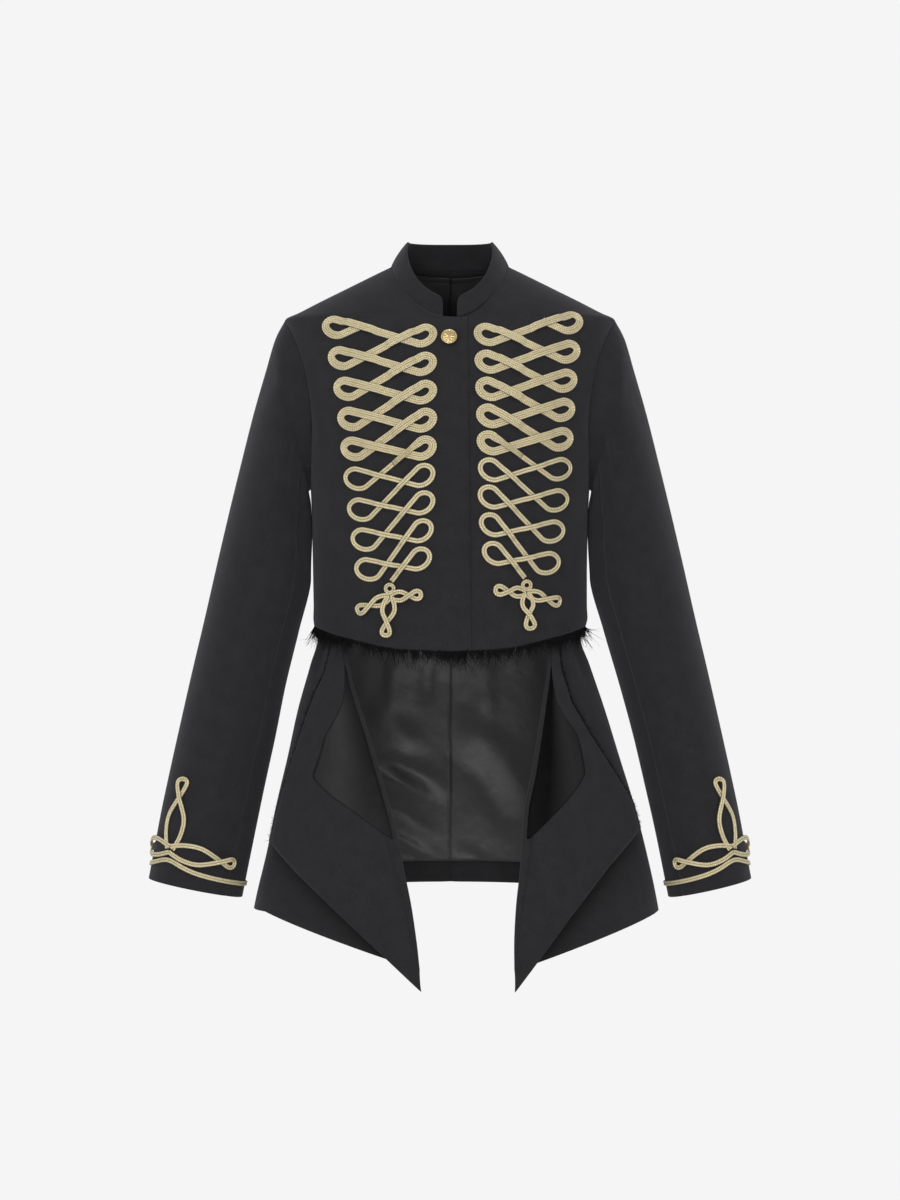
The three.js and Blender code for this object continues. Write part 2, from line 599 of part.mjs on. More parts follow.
// A point above the sleeve: turn round it, and rise above the edge of the cuff.
function cuffPoint(side, turn, rise, height) {
  const cuffZ = sleeveRows[sleeveRows.length - 1].outZ;
  const lengths = sleeveRows.map((row) => ({ ...row, rise: row.outZ - cuffZ }));
  lengths.reverse();
  const row = {};
  for (const column of ['outX', 'outZ', 'inRight', 'inLeft', 'inZ', 'depth', 'shift']) {
    row[column] = sample(lengths, 'rise', rise, column);
  }
  const point = sleeveRingPoint(row, side, turn);
  const ahead = sleeveRingPoint(row, side, turn + 0.05).sub(sleeveRingPoint(row, side, turn - 0.05));
  const down = new THREE.Vector3(side * cuff.downX, 0, cuff.downZ);
  const normal = ahead.cross(down).multiplyScalar(-side).normalize();
  return point.addScaledVector(normal, height);
}

// Tails: one row across a folded tail, as points with a height above the hips.
function tailRow(rows, t, side) {
  const row = {};
  for (const column of ['foldX', 'foldZ', 'freeX', 'freeZ', 'sideZ', 'lining', 'loft', 'sink']) {
    row[column] = sample(rows, 't', t, column);
  }
  const ahead = Math.min(t + 0.05, 1);
  const behind = Math.max(t - 0.05, 0);
  const alongX = sample(rows, 't', ahead, 'foldX') - sample(rows, 't', behind, 'foldX');
  const alongZ = sample(rows, 't', ahead, 'foldZ') - sample(rows, 't', behind, 'foldZ');
  const length = Math.hypot(alongX, alongZ);
  row.outX = alongZ / length;
  row.outZ = -alongX / length;
  row.side = side;
  return row;
}

function hipPoint(side, x, z, height) {
  return bodyPoint(angleAt(side * x, z), z, height);
}

// Under layer, share 0 at the side seam and 1 at the fold.
function underPoint(row, share, height) {
  const sideX = halfWidth(row.sideZ, row.side);
  const endAngle = Math.abs(angleAt(row.side * row.foldX, row.foldZ));
  const angle = THREE.MathUtils.lerp(Math.PI / 2, endAngle, share);
  const across = (sideX - bodySurface(angle, row.sideZ).x) / (sideX - row.foldX);
  const z = THREE.MathUtils.lerp(row.sideZ, row.foldZ, across);
  const sink = row.sink * THREE.MathUtils.smoothstep(share, 0, tailRoll.sinkShare);
  return bodyPoint(row.side * angle, THREE.MathUtils.clamp(z, row.foldZ, row.sideZ), height - sink);
}

// Round the fold, turn 0 on the under layer and a half turn on the turned one.
function foldPoint(row, turn, height) {
  const radius = row.loft / 2;
  const reach = (radius - height) * Math.sin(turn);
  const rise = radius - (radius - height) * Math.cos(turn);
  return hipPoint(row.side, row.foldX + row.outX * reach, row.foldZ + row.outZ * reach, rise - row.sink);
}

// Turned layer, share 0 at the fold and 1 at the free edge.
function turnedPoint(row, share, height) {
  const x = THREE.MathUtils.lerp(row.foldX, row.freeX, share);
  const z = THREE.MathUtils.lerp(row.foldZ, row.freeZ, share);
  const away = share * Math.hypot(row.freeX - row.foldX, row.freeZ - row.foldZ);
  const kept = 1 - THREE.MathUtils.smoothstep(share, tailRoll.fade, 1);
  const rolled = kept * (1 - Math.exp(-away / tailRoll.reach));
  const roll = Math.max(row.loft - tailRoll.from, 0) * tailRoll.rise * rolled;
  return hipPoint(row.side, x, z, row.loft + roll + height - row.sink);
}

function tailPanel(rows, side) {
  const half = wool / 2;
  const outer = [];
  const inner = [];
  for (const { t } of rows) {
    const row = tailRow(rows, t, side);
    const skin = (face) => [
      ...tailShares.under.map((share) => underPoint(row, share, face * half)),
      ...tailShares.fold.map((turn) => foldPoint(row, THREE.MathUtils.degToRad(turn), face * half)),
      ...turnedShares(row).slice(1).map((share) => turnedPoint(row, share, -face * half)),
    ];
    outer.push(skin(-1));
    inner.push(skin(1));
  }
  return wall(outer, inner);
}

// Shares from the fold to the free edge: the lining's, then the facing's.
function turnedShares(row) {
  const border = Math.max(row.lining, tailShares.bare);
  return [0, border / 2, border, ...facingShares.map((share) => THREE.MathUtils.lerp(border, 1, share))];
}

// A layer that lies on some columns of the turned part of a tail.
function turnedLayer(rows, covered, side, first, last, thickness) {
  const outer = [];
  const inner = [];
  const base = wool / 2 + layerGap;
  for (const { t } of covered) {
    const row = tailRow(rows, t, side);
    const shares = turnedShares(row).slice(first, last + 1);
    if (first > 0) shares[0] += tailShares.gap;
    if (first === 0) shares[shares.length - 1] -= tailShares.gap;
    outer.push(shares.map((share) => turnedPoint(row, share, base + thickness)));
    inner.push(shares.map((share) => turnedPoint(row, share, base)));
  }
  return wall(outer, inner);
}

function underLining(rows, side) {
  const outer = [];
  const inner = [];
  const base = -wool / 2 - layerGap;
  for (const { t } of rows.slice(1, -1)) {
    const row = tailRow(rows, t, side);
    outer.push(tailShares.under.map((share) => underPoint(row, share, base)));
    inner.push(tailShares.under.map((share) => underPoint(row, share, base - satin)));
  }
  return wall(outer, inner);
}

function addTail(name, rows, side) {
  addPiece(`tail_${name}`, 'wool', tailPanel(rows, side));
  const lined = rows.filter((row) => row.lining > 0);
  addPiece(`tail_facing_${name}`, 'wool', turnedLayer(rows, rows, side, 2, 5, facingCloth));
  addPiece(`tail_lining_${name}`, 'satin', turnedLayer(rows, lined, side, 0, 2, satin));
  addPiece(`tail_underlining_${name}`, 'satin', underLining(rows, side));
}

// A flat braid laid on a surface: place(a, b, height) gives the surface's points.
function cordOn(place, path, wholeWidth, closed = false) {
  const count = path.length;
  const spots = path.map((p) => place(p.a, p.b, braid.base + p.lift));
  const rings = path.map((p, i) => {
    const next = closed ? spots[(i + 1) % count] : spots[Math.min(i + 1, count - 1)];
    const before = closed ? spots[(i + count - 1) % count] : spots[Math.max(i - 1, 0)];
    const normal = place(p.a, p.b, braid.base + p.lift + 1).sub(spots[i]).normalize();
    const across = next.clone().sub(before).cross(normal).normalize();
    const width = wholeWidth * (p.share ?? 1);
    const top = braid.topShare;
    const corners = [[-0.5, 0], [0.5, 0], [top, braid.height], [-top, braid.height]];
    return corners.map(([share, up]) => spots[i].clone().addScaledVector(across, share * width)
      .addScaledVector(normal, up));
  });
  return tube(rings, closed);
}

// The line that leaves the top of one loop and reaches the bottom of the next.
function tangentBetween(from, to) {
  const way = new THREE.Vector2(to.x - from.x, to.z - from.z);
  const distance = way.length();
  way.normalize();
  const upright = new THREE.Vector2(-way.y, way.x);
  if (upright.y < 0) upright.negate();
  const share = (from.radius + to.radius) / distance;
  const normal = way.multiplyScalar(share).add(upright.multiplyScalar(Math.sqrt(1 - share * share)));
  return {
    start: { x: from.x + from.radius * normal.x, z: from.z + from.radius * normal.y },
    end: { x: to.x - to.radius * normal.x, z: to.z - to.radius * normal.y },
    angle: Math.atan2(normal.y, normal.x),
  };
}

function lineCrossing(first, second) {
  const dx1 = first.end.x - first.start.x;
  const dz1 = first.end.z - first.start.z;
  const dx2 = second.end.x - second.start.x;
  const dz2 = second.end.z - second.start.z;
  const cross = dx1 * dz2 - dz1 * dx2;
  const share = ((second.start.x - first.start.x) * dz2 - (second.start.z - first.start.z) * dx2) / cross;
  const length = Math.hypot(dx1, dz1);
  const between = Math.asin(Math.abs(cross) / (length * Math.hypot(dx2, dz2)));
  return { distance: share * length, between };
}

function liftAt(distance, crossing, width) {
  const flat = (width / 2) / Math.tan(crossing.between / 2) + 1;
  const away = Math.abs(distance - crossing.distance) - flat;
  return braid.crossing * (1 - THREE.MathUtils.smoothstep(away, 0, braid.ramp));
}

// The serpentine of a column: each strand leaves a loop over the strand that entered it.
function frogPath(frogs, side, from, to, width, endPoint) {
  const loops = [];
  for (let k = from; k < to; k += 1) {
    const { outerX, outerZ, innerX, innerZ } = frogs[k];
    const { outer, inner } = loopReach;
    loops.push({ x: outerX - side * outer, z: outerZ, radius: outer - width / 2, far: side });
    loops.push({ x: innerX + side * inner, z: innerZ, radius: inner - width / 2, far: -side });
  }
  const arrival = (loop) => ({ ...loop, x: loop.x - loop.far * braid.belly });
  const lines = loops.slice(1).map((loop, i) => tangentBetween(loops[i], arrival(loop)));
  const first = loops[0];
  const above = { innerX: frogs[0].innerX, innerZ: frogs[0].innerZ + braid.pitch };
  const before = from > 0 ? frogs[from - 1] : above;
  const beforeX = before.innerX + side * loopReach.inner;
  const beforeWidth = from > 0 ? braid.double : width;
  const beforeLoop = { x: beforeX, z: before.innerZ, radius: loopReach.inner - beforeWidth / 2 };
  const entry = tangentBetween(beforeLoop, arrival(first));
  const last = loops[loops.length - 1];
  const exit = tangentBetween(last, endPoint);
  lines.unshift(entry);
  lines.push(exit);
  const path = [];
  const add = (x, z, lift, share = 1) => path.push({ a: x, b: z, lift, share });
  lines.forEach((line, i) => {
    const length = Math.hypot(line.end.x - line.start.x, line.end.z - line.start.z);
    const crossing = i > 0 ? lineCrossing(line, lines[i - 1]) : null;
    const tapered = i === lines.length - 1 ? endPoint.tapered : 1;
    const onLine = (d, lift) => {
      const share = THREE.MathUtils.lerp(1, tapered, THREE.MathUtils.smoothstep(d, 0, braid.taper));
      add(THREE.MathUtils.lerp(line.start.x, line.end.x, d / length),
        THREE.MathUtils.lerp(line.start.z, line.end.z, d / length), lift, share);
    };
    if (i === 0) {
      const start = from > 0 ? length / 2 + seam : length - braid.tie;
      [start, (start + length) / 2].forEach((d) => onLine(d, 0));
    } else {
      const flat = (width / 2) / Math.tan(crossing.between / 2) + 1;
      const marks = [crossing.distance - flat - braid.ramp, crossing.distance - flat, crossing.distance,
        crossing.distance + flat, crossing.distance + flat + braid.ramp];
      const stop = i === lines.length - 1 ? endPoint.stop(length) : length;
      const inside = marks.filter((d) => d > braid.startClear && d < stop - braid.endClear);
      inside.forEach((d) => onLine(d, liftAt(d, crossing, width)));
      const used = marks[marks.length - 1];
      if (stop - used > braid.near) onLine((used + stop) / 2, 0);
      if (i === lines.length - 1) onLine(stop, 0);
    }
    if (i < loops.length) {
      const loop = loops[i];
      const out = lines[i + 1];
      const start = line.angle + Math.PI;
      let sweep = out.angle - start;
      const turn = loop.far;
      while (sweep * turn < 0) sweep += turn * 2 * Math.PI;
      while (sweep * turn > 2 * Math.PI) sweep -= turn * 2 * Math.PI;
      const nextCrossing = lineCrossing(out, line);
      for (let step = 0; step <= braid.arcSteps; step += 1) {
        const share = step / braid.arcSteps;
        const angle = start + sweep * share;
        const left = -Math.abs(sweep) * loop.radius * (1 - share);
        const shift = loop.far * braid.belly * (1 - THREE.MathUtils.smoothstep(share, 0, braid.bellyEnd));
        const lift = left > -braid.near ? liftAt(left, nextCrossing, width) : 0;
        add(loop.x - shift + loop.radius * Math.cos(angle), loop.z + loop.radius * Math.sin(angle), lift);
      }
    }
  });
  return path;
}

// A leaf that ends in an eyelet, crossing itself at its neck.
function leafPath(middle, leaf) {
  const { neck: crossing, reach, half } = leaf;
  const start = braid.leafStart;
  const lift = braid.crossing;
  const local = [
    [start, 0.35 * half, 0], [0.3 * crossing, 0.88 * half, 0], [0.62 * crossing, 0.92 * half, 0],
    [crossing, 0, 0],
    [reach - 0.3 * eyelet, -0.95 * eyelet, 0], [reach + 0.75 * eyelet, -0.6 * eyelet, 0],
    [reach + 0.75 * eyelet, 0.6 * eyelet, 0], [reach - 0.3 * eyelet, 0.95 * eyelet, 0.9 * lift],
    [crossing, 0, lift], [0.62 * crossing, -0.92 * half, 0.4 * lift], [0.3 * crossing, -0.88 * half, 0],
    [start, -0.35 * half, 0],
  ];
  const cos = Math.cos(THREE.MathUtils.degToRad(leaf.angle));
  const sin = Math.sin(THREE.MathUtils.degToRad(leaf.angle));
  return local.map(([along, across, up]) => ({
    a: middle.a + along * cos - across * sin,
    b: middle.b + along * sin + across * cos,
    lift: up + braid.knotLift,
  }));
}

// The short bar that covers the middle of a knot.
function hubPath(middle) {
  const lift = braid.hubLift;
  return [-1, 0, 1].map((step) => ({ a: middle.a + step * braid.hubReach, b: middle.b, lift }));
}

function columnKnot(knot) {
  const place = (a, b, height) => frontPoint(a, b, height);
  const middle = { a: knot.x, b: knot.z };
  const parts = knot.leaves.map((leaf) => cordOn(place, leafPath(middle, leaf), braid.leafWidth));
  const ring = [];
  for (let step = 0; step < braid.ringSides; step += 1) {
    const angle = (step * 2 * Math.PI) / braid.ringSides;
    const a = knot.x + knot.ring * Math.cos(angle);
    const b = knot.z + knot.ringRise + knot.ring * Math.sin(angle);
    ring.push({ a, b, lift: braid.knotLift });
  }
  parts.push(cordOn(place, ring, braid.ringWidth, true));
  parts.push(cordOn(place, hubPath({ a: knot.x, b: knot.z + 1 }), braid.hubWidth));
  return join(parts);
}

function cuffPlace(side) {
  return (a, b, height) => {
    const turn = THREE.MathUtils.degToRad(cuff.middleAngle - a / cuff.degree);
    return cuffPoint(side, turn, b, height);
  };
}

function cuffKnot(side) {
  const place = cuffPlace(side);
  const middle = { a: 0, b: cuff.middleRise };
  const parts = cuff.leaves.map((leaf) => cordOn(place, leafPath(middle, leaf), braid.leafWidth));
  parts.push(cordOn(place, hubPath(middle), braid.hubWidth));
  return join(parts);
}

function cuffBand(side) {
  const place = cuffPlace(side);
  const round = 360 * cuff.degree;
  const path = [];
  for (let step = 0; step < cuff.bandSteps; step += 1) {
    const a = (step / cuff.bandSteps - 0.5) * round;
    path.push({ a, b: cuff.bandRise + cuff.bandPeak / (1 + (a / cuff.bandSpread) ** 2), lift: 0 });
  }
  return cordOn(place, path, braid.leafWidth, true);
}

// Even numbers that look uneven, the same each time.
function uneven(seed) {
  const value = Math.sin(seed * 127.1 + 311.7) * 43758.5453;
  return value - Math.floor(value);
}

// Threads side by side on a narrow strip, one body: edge(share, depth, height) gives the strip's
// points, and each thread is a four-sided spike on the strip's lower face.
function frayedStrip(edge, count, length, sway) {
  const vertices = [];
  const faces = [];
  const quad = (a, b, c, d) => faces.push([a, b, c], [a, c, d]);
  for (let column = 0; column <= count; column += 1) {
    const share = column / count;
    const lower = seam + fray.strip;
    for (const [depth, height] of [[seam, 0], [lower, 0], [lower, -fray.thick], [seam, -fray.thick]]) {
      vertices.push(edge(share, depth, height));
    }
  }
  quad(0, 1, 2, 3);
  quad(4 * count + 3, 4 * count + 2, 4 * count + 1, 4 * count);
  for (let k = 0; k < count; k += 1) {
    const near = 4 * k;
    const far = near + 4;
    const reach = length((k + 0.5) / count, uneven(k + count));
    const share = (k + 0.5 + sway * (uneven(k * 3 + count) - 0.5)) / count;
    vertices.push(edge(share, seam + fray.strip + reach, -fray.thick * uneven(k * 7 + count)));
    const tip = vertices.length - 1;
    quad(near, far, far + 1, near + 1);
    quad(near + 3, near + 2, far + 2, far + 3);
    quad(near, near + 3, far + 3, far);
    faces.push([near + 1, far + 1, tip], [far + 1, far + 2, tip]);
    faces.push([far + 2, near + 2, tip], [near + 2, near + 1, tip]);
  }
  return solid(vertices, faces);
}

function frontFrayEdge(side) {
  const startX = side > 0 ? overlap.under : overlap.hem;
  const start = angleAt(startX, frontHem.centreZ);
  const end = (side * Math.PI) / 2;
  return (share, depth, height) => {
    const angle = THREE.MathUtils.lerp(start, end, THREE.MathUtils.lerp(fray.from, fray.to, share));
    const z = frontHemZ(angle);
    const x = bodySurface(angle, z).x;
    const point = bodyPoint(angle, z, frontRise(x, z, side) - fray.sunk + height);
    point.z -= depth + fray.drop;
    return point;
  };
}

function tailFrayEdge(rows, side) {
  const corners = rows.filter((row) => row.t > 0 && row.t <= cornerShare).map((row) => row.t);
  const spot = (t, depth, height) => {
    const row = tailRow(rows, t, side);
    const width = Math.hypot(row.freeX - row.foldX, row.freeZ - row.foldZ);
    return turnedPoint(row, 1 + (depth + seam) / width, wool / 2 + height);
  };
  return (share, depth, height) => {
    const place = THREE.MathUtils.clamp(share, 0, 1) * (corners.length - 1);
    const k = Math.min(Math.floor(place), corners.length - 2);
    return spot(corners[k], depth, height).lerp(spot(corners[k + 1], depth, height), place - k);
  };
}

function buttonGeometry() {
  const { radius, rim, dome, shank } = button;
  const profile = [
    [0, 0], [2.4, 0], [2.4, shank], [radius - 0.6, shank], [radius, shank + rim / 2],
    [radius - 0.5, shank + rim], [radius - 1.6, shank + rim], [radius - 2.1, shank + rim - 0.4],
    [radius * 0.5, shank + dome - 0.5], [0, shank + dome],
  ].map(([r, h]) => new THREE.Vector2(r, h));
  const geometry = new THREE.LatheGeometry(profile, button.sides);
  const base = frontPoint(button.x, button.z, layerGap);
  const out = frontPoint(button.x, button.z, layerGap + 1).sub(base).normalize();
  geometry.applyQuaternion(new THREE.Quaternion().setFromUnitVectors(new THREE.Vector3(0, 1, 0), out));
  geometry.translate(base.x, base.y, base.z);
  geometry.deleteAttribute('normal');
  geometry.deleteAttribute('uv');
  return mergeVertices(geometry, 1e-4);
}

for (const [name, side] of [['right', -1], ['left', 1]]) {
  const front = frontPanel(side);
  addPiece(`front_${name}`, 'wool', trim(front.points, front.normals, wool));
  const back = backPanel(side);
  addPiece(`back_${name}`, 'wool', trim(back.points, back.normals, wool));
  const sleeve = sleeveGrid(side);
  addPiece(`sleeve_upper_${name}`, 'wool', sleevePiece(sleeve, forearmSeam, elbowSeam));
  addPiece(`sleeve_under_${name}`, 'wool', sleevePiece(sleeve, elbowSeam, armhole.steps + forearmSeam));
}
addPiece('lining_back', 'satin', backLining());
addPiece('collar', 'wool', collarBand());
addTail('right', rightTail, -1);
addTail('left', leftTail, 1);

const columns = [['right', -1, rightFrogs, rightKnot], ['left', 1, leftFrogs, leftKnot]];
for (const [name, side, frogs, knot] of columns) {
  const place = (a, b, height) => frontPoint(a, b, height);
  const next = frogs[doubleFrogs];
  const joinPoint = {
    x: next.outerX - side * (loopReach.outer + braid.belly),
    z: next.outerZ,
    radius: loopReach.outer - braid.single / 2,
    stop: (length) => length / 2 - seam,
    tapered: braid.single / braid.double,
  };
  const upper = frogPath(frogs, side, 0, doubleFrogs, braid.double, joinPoint);
  addPiece(`braid_double_${name}`, 'braid', cordOn(place, upper, braid.double));
  const stem = { x: knot.stemX, z: knot.stemZ, radius: 0, stop: (length) => length - seam, tapered: 1 };
  const lower = frogPath(frogs, side, doubleFrogs, frogs.length, braid.single, stem);
  addPiece(`braid_single_${name}`, 'braid', cordOn(place, lower, braid.single));
  addPiece(`braid_knot_${name}`, 'braid', columnKnot(knot));
  addPiece(`cuff_knot_${name}`, 'braid', cuffKnot(side));
  addPiece(`cuff_band_${name}`, 'braid', cuffBand(side));
}
addPiece('button', 'brass', buttonGeometry());

for (const [name, side, rows] of [['right', -1, rightTail], ['left', 1, leftTail]]) {
  const { strands, shortest, longest, centre, centreShare, sway } = frontFray;
  const length = (share, chance) => THREE.MathUtils.lerp(shortest, longest, chance)
    + (share < centreShare ? centre * chance : 0);
  addPiece(`fray_front_${name}`, 'wool', frayedStrip(frontFrayEdge(side), strands, length, sway));
  const tailLength = (share, chance) => THREE.MathUtils.lerp(tailFray.shortest, tailFray.longest, chance);
  const tailEdge = tailFrayEdge(rows, side);
  addPiece(`fray_tail_${name}`, 'wool', frayedStrip(tailEdge, tailFray.strands, tailLength, tailFray.sway));
}

export default jacket;
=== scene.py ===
"""A frogged wool jacket, worn and hollow: fine cloth shells, lining, soutache, button and fray.

Metres, +Z up, the front faces -Y, so +X is the wearer's left. The origin is the middle of the neck.
Grids are numpy arrays of points, rows down the cloth and columns across it.
"""
import math

import bpy
import numpy as np
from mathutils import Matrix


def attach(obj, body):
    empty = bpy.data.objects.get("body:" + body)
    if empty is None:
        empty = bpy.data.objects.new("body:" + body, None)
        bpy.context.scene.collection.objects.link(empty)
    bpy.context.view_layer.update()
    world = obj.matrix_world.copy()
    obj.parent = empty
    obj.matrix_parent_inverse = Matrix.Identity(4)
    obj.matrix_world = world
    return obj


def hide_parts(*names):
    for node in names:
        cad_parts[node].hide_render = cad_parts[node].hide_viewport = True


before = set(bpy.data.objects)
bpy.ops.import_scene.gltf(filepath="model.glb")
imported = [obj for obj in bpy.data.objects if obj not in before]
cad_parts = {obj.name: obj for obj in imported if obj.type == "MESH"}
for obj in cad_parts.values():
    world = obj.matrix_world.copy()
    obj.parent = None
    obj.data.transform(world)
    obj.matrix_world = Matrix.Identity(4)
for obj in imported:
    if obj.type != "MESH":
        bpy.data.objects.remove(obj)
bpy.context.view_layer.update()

# Camera, level with the middle of the jacket.
CAMERA_DISTANCE = 4.0
CAMERA_HEIGHT = -0.377
VIEW_HEIGHT = 1.3596
SENSOR = 36.0

camera_data = bpy.data.cameras.new("camera")
camera = bpy.data.objects.new("camera", camera_data)
bpy.context.scene.collection.objects.link(camera)
camera.location = (0, -CAMERA_DISTANCE, CAMERA_HEIGHT)
camera.rotation_euler = (math.pi / 2, 0, 0)
camera_data.sensor_fit = "VERTICAL"
camera_data.sensor_height = SENSOR
camera_data.lens = SENSOR * CAMERA_DISTANCE / VIEW_HEIGHT
bpy.context.scene.camera = camera

# Cloth.
WOOL = 0.002
SATIN = 0.001
FACING = 0.0012
COLLAR_CLOTH = 0.0026
SEAM = 0.0003
LAYER_GAP = 0.0003
RIM_BULGE = 0.3

# Body: half widths and depths at each height.
ROUNDNESS = 2.3
BODY_COLUMNS = ("z", "right", "left", "front", "back")
BODY_ROWS = (
    (0.004, 0.060, 0.060, 0.006, 0.046),
    (0.000, 0.067, 0.067, 0.014, 0.050),
    (-0.006, 0.079, 0.079, 0.029, 0.058),
    (-0.014, 0.095, 0.095, 0.040, 0.065),
    (-0.026, 0.119, 0.119, 0.052, 0.074),
    (-0.042, 0.151, 0.151, 0.066, 0.083),
    (-0.052, 0.170, 0.170, 0.074, 0.088),
    (-0.061, 0.187, 0.187, 0.080, 0.092),
    (-0.075, 0.185, 0.185, 0.090, 0.097),
    (-0.100, 0.181, 0.181, 0.101, 0.103),
    (-0.145, 0.173, 0.173, 0.114, 0.109),
    (-0.195, 0.166, 0.166, 0.121, 0.111),
    (-0.250, 0.158, 0.158, 0.119, 0.106),
    (-0.300, 0.156, 0.156, 0.112, 0.097),
    (-0.350, 0.155, 0.155, 0.104, 0.089),
    (-0.395, 0.154, 0.155, 0.098, 0.084),
    (-0.420, 0.149, 0.147, 0.097, 0.084),
    (-0.450, 0.157, 0.157, 0.099, 0.088),
    (-0.500, 0.171, 0.174, 0.103, 0.097),
    (-0.555, 0.183, 0.191, 0.107, 0.108),
    (-0.610, 0.196, 0.208, 0.110, 0.118),
    (-0.660, 0.206, 0.221, 0.112, 0.125),
    (-0.715, 0.219, 0.233, 0.113, 0.130),
    (-0.830, 0.240, 0.252, 0.113, 0.140),
)
NECK_HALF = 0.066
NECK_FRONT_Z = -0.0625
NECK_CURVE = 1.25
ARMHOLE_TOP = -0.061
ARMHOLE_BOTTOM = -0.252
ARMHOLE_HALF_DEPTH = 0.056
FRONT_HEM = ((0, -0.434), (0.35, -0.432), (0.82, -0.417), (1, -0.407))
FRONT_HEM_CENTRE = -0.434
FRONT_KICK = 0.004
FRONT_KICK_Z = -0.380
BACK_HEM_CENTRE = -0.706
BACK_HEM_DROP = 0.012
OVERLAP_TOP = 0.0187
OVERLAP_HEM = 0.0228
OVERLAP_UNDER = -0.012
OVERLAP_INSET = 0.0025
OVERLAP_INSET_FROM = 0.026
OVERLAP_INSET_TO = 0.058
LINING_SHARE = 0.945
FRONT_COLUMNS = 64
BACK_COLUMNS = 52
ARMHOLE_ROWS = 48
SLEEVE_LINES = 150
FRONT_EASE = 7 / 8
BACK_EASE = 5 / 6
SURFACE_STEP = 0.001

# Sleeves: outer and inner points of each ring seen from the front, half depth and lean forward.
SLEEVE_COLUMNS = ("out_x", "out_z", "right", "left", "in_z", "depth", "shift")
SLEEVE_ROWS = (
    (0.197, -0.080, 0.160, 0.160, -0.2545, 0.060, 0),
    (0.209, -0.120, 0.1596, 0.1596, -0.262, 0.064, 0),
    (0.222, -0.165, 0.1588, 0.1588, -0.274, 0.066, 0.001),
    (0.236, -0.220, 0.158, 0.158, -0.292, 0.066, 0.002),
    (0.250, -0.277, 0.1572, 0.1572, -0.318, 0.065, 0.002),
    (0.264, -0.337, 0.1574, 0.1584, -0.353, 0.062, 0.001),
    (0.278, -0.399, 0.171, 0.174, -0.412, 0.059, -0.001),
    (0.292, -0.459, 0.186, 0.192, -0.474, 0.056, -0.004),
    (0.304, -0.513, 0.197, 0.207, -0.530, 0.053, -0.008),
    (0.316, -0.568, 0.209, 0.220, -0.586, 0.049, -0.012),
    (0.326, -0.616, 0.219, 0.231, -0.635, 0.046, -0.015),
    (0.334, -0.660, 0.228, 0.240, -0.680, 0.043, -0.018),
    (0.3395, -0.690, 0.234, 0.246, -0.711, 0.041, -0.020),
)
FOREARM_SEAM = 2 / 16
ELBOW_SEAM = 13 / 16

# Tails: the fold, the free edge of the turned layer, the height of the side seam, how far the lining
# reaches from the fold to the free edge, the loft of the fold and how deep the tail lies at the hem.
TAIL_COLUMNS = ("t", "fold_x", "fold_z", "free_x", "free_z", "side_z", "lining", "loft", "sink")
TAIL_ROWS = {
    "right": (
        (0, 0.126, -0.408, 0.132, -0.408, -0.408, 0, 0.0026, 0.0095),
        (0.1, 0.118, -0.45, 0.141, -0.455, -0.447, 0.03, 0.0034, 0.008),
        (0.2, 0.105, -0.49, 0.151, -0.492, -0.482, 0.24, 0.005, 0.0025),
        (0.3, 0.093, -0.525, 0.162, -0.53, -0.517, 0.57, 0.006, 0.001),
        (0.4, 0.08, -0.57, 0.176, -0.577, -0.56, 0.69, 0.007, 0.001),
        (0.5, 0.0695, -0.608, 0.188, -0.618, -0.6, 0.28, 0.007, 0.001),
        (0.6, 0.062, -0.64, 0.196, -0.649, -0.632, 0.014, 0.007, 0.001),
        (0.7, 0.0545, -0.676, 0.166, -0.681, -0.658, 0, 0.007, 0.001),
        (0.8, 0.047, -0.713, 0.124, -0.7206, -0.682, 0, 0.007, 0.001),
        (0.9, 0.041, -0.75, 0.0783, -0.7634, -0.706, 0, 0.006, 0.001),
        (1, 0.0355, -0.784, 0.032, -0.808, -0.725, 0, 0.0024, 0.001),
    ),
    "left": (
        (0, 0.117, -0.408, 0.123, -0.408, -0.408, 0, 0.0026, 0.0095),
        (0.1, 0.114, -0.45, 0.125, -0.452, -0.447, 0.03, 0.0034, 0.008),
        (0.2, 0.106, -0.49, 0.132, -0.491, -0.482, 0.38, 0.005, 0.0025),
        (0.3, 0.1005, -0.525, 0.151, -0.527, -0.517, 0.7, 0.006, 0.001),
        (0.4, 0.0935, -0.57, 0.178, -0.572, -0.56, 0.59, 0.007, 0.001),
        (0.5, 0.086, -0.608, 0.199, -0.606, -0.598, 0.28, 0.007, 0.001),
        (0.6, 0.0835, -0.64, 0.207, -0.635, -0.628, 0.03, 0.007, 0.001),
        (0.7, 0.081, -0.676, 0.172, -0.674, -0.656, 0, 0.007, 0.001),
        (0.8, 0.077, -0.713, 0.131, -0.727, -0.68, 0, 0.007, 0.001),
        (0.9, 0.0745, -0.75, 0.099, -0.771, -0.707, 0, 0.006, 0.001),
        (1, 0.073, -0.784, 0.0715, -0.809, -0.727, 0, 0.0024, 0.001),
    ),
}
TAIL_CORNER = 0.6
TAIL_BARE = 0.05
TAIL_GAP = 0.006
TAIL_TIP = 0.93
TAIL_SPAN = 0.05
TAIL_ROLL_RISE = 2
TAIL_ROLL_FROM = 0.0026
TAIL_ROLL_REACH = 0.022
TAIL_ROLL_FADE = 0.35
TAIL_SINK_SHARE = 0.4

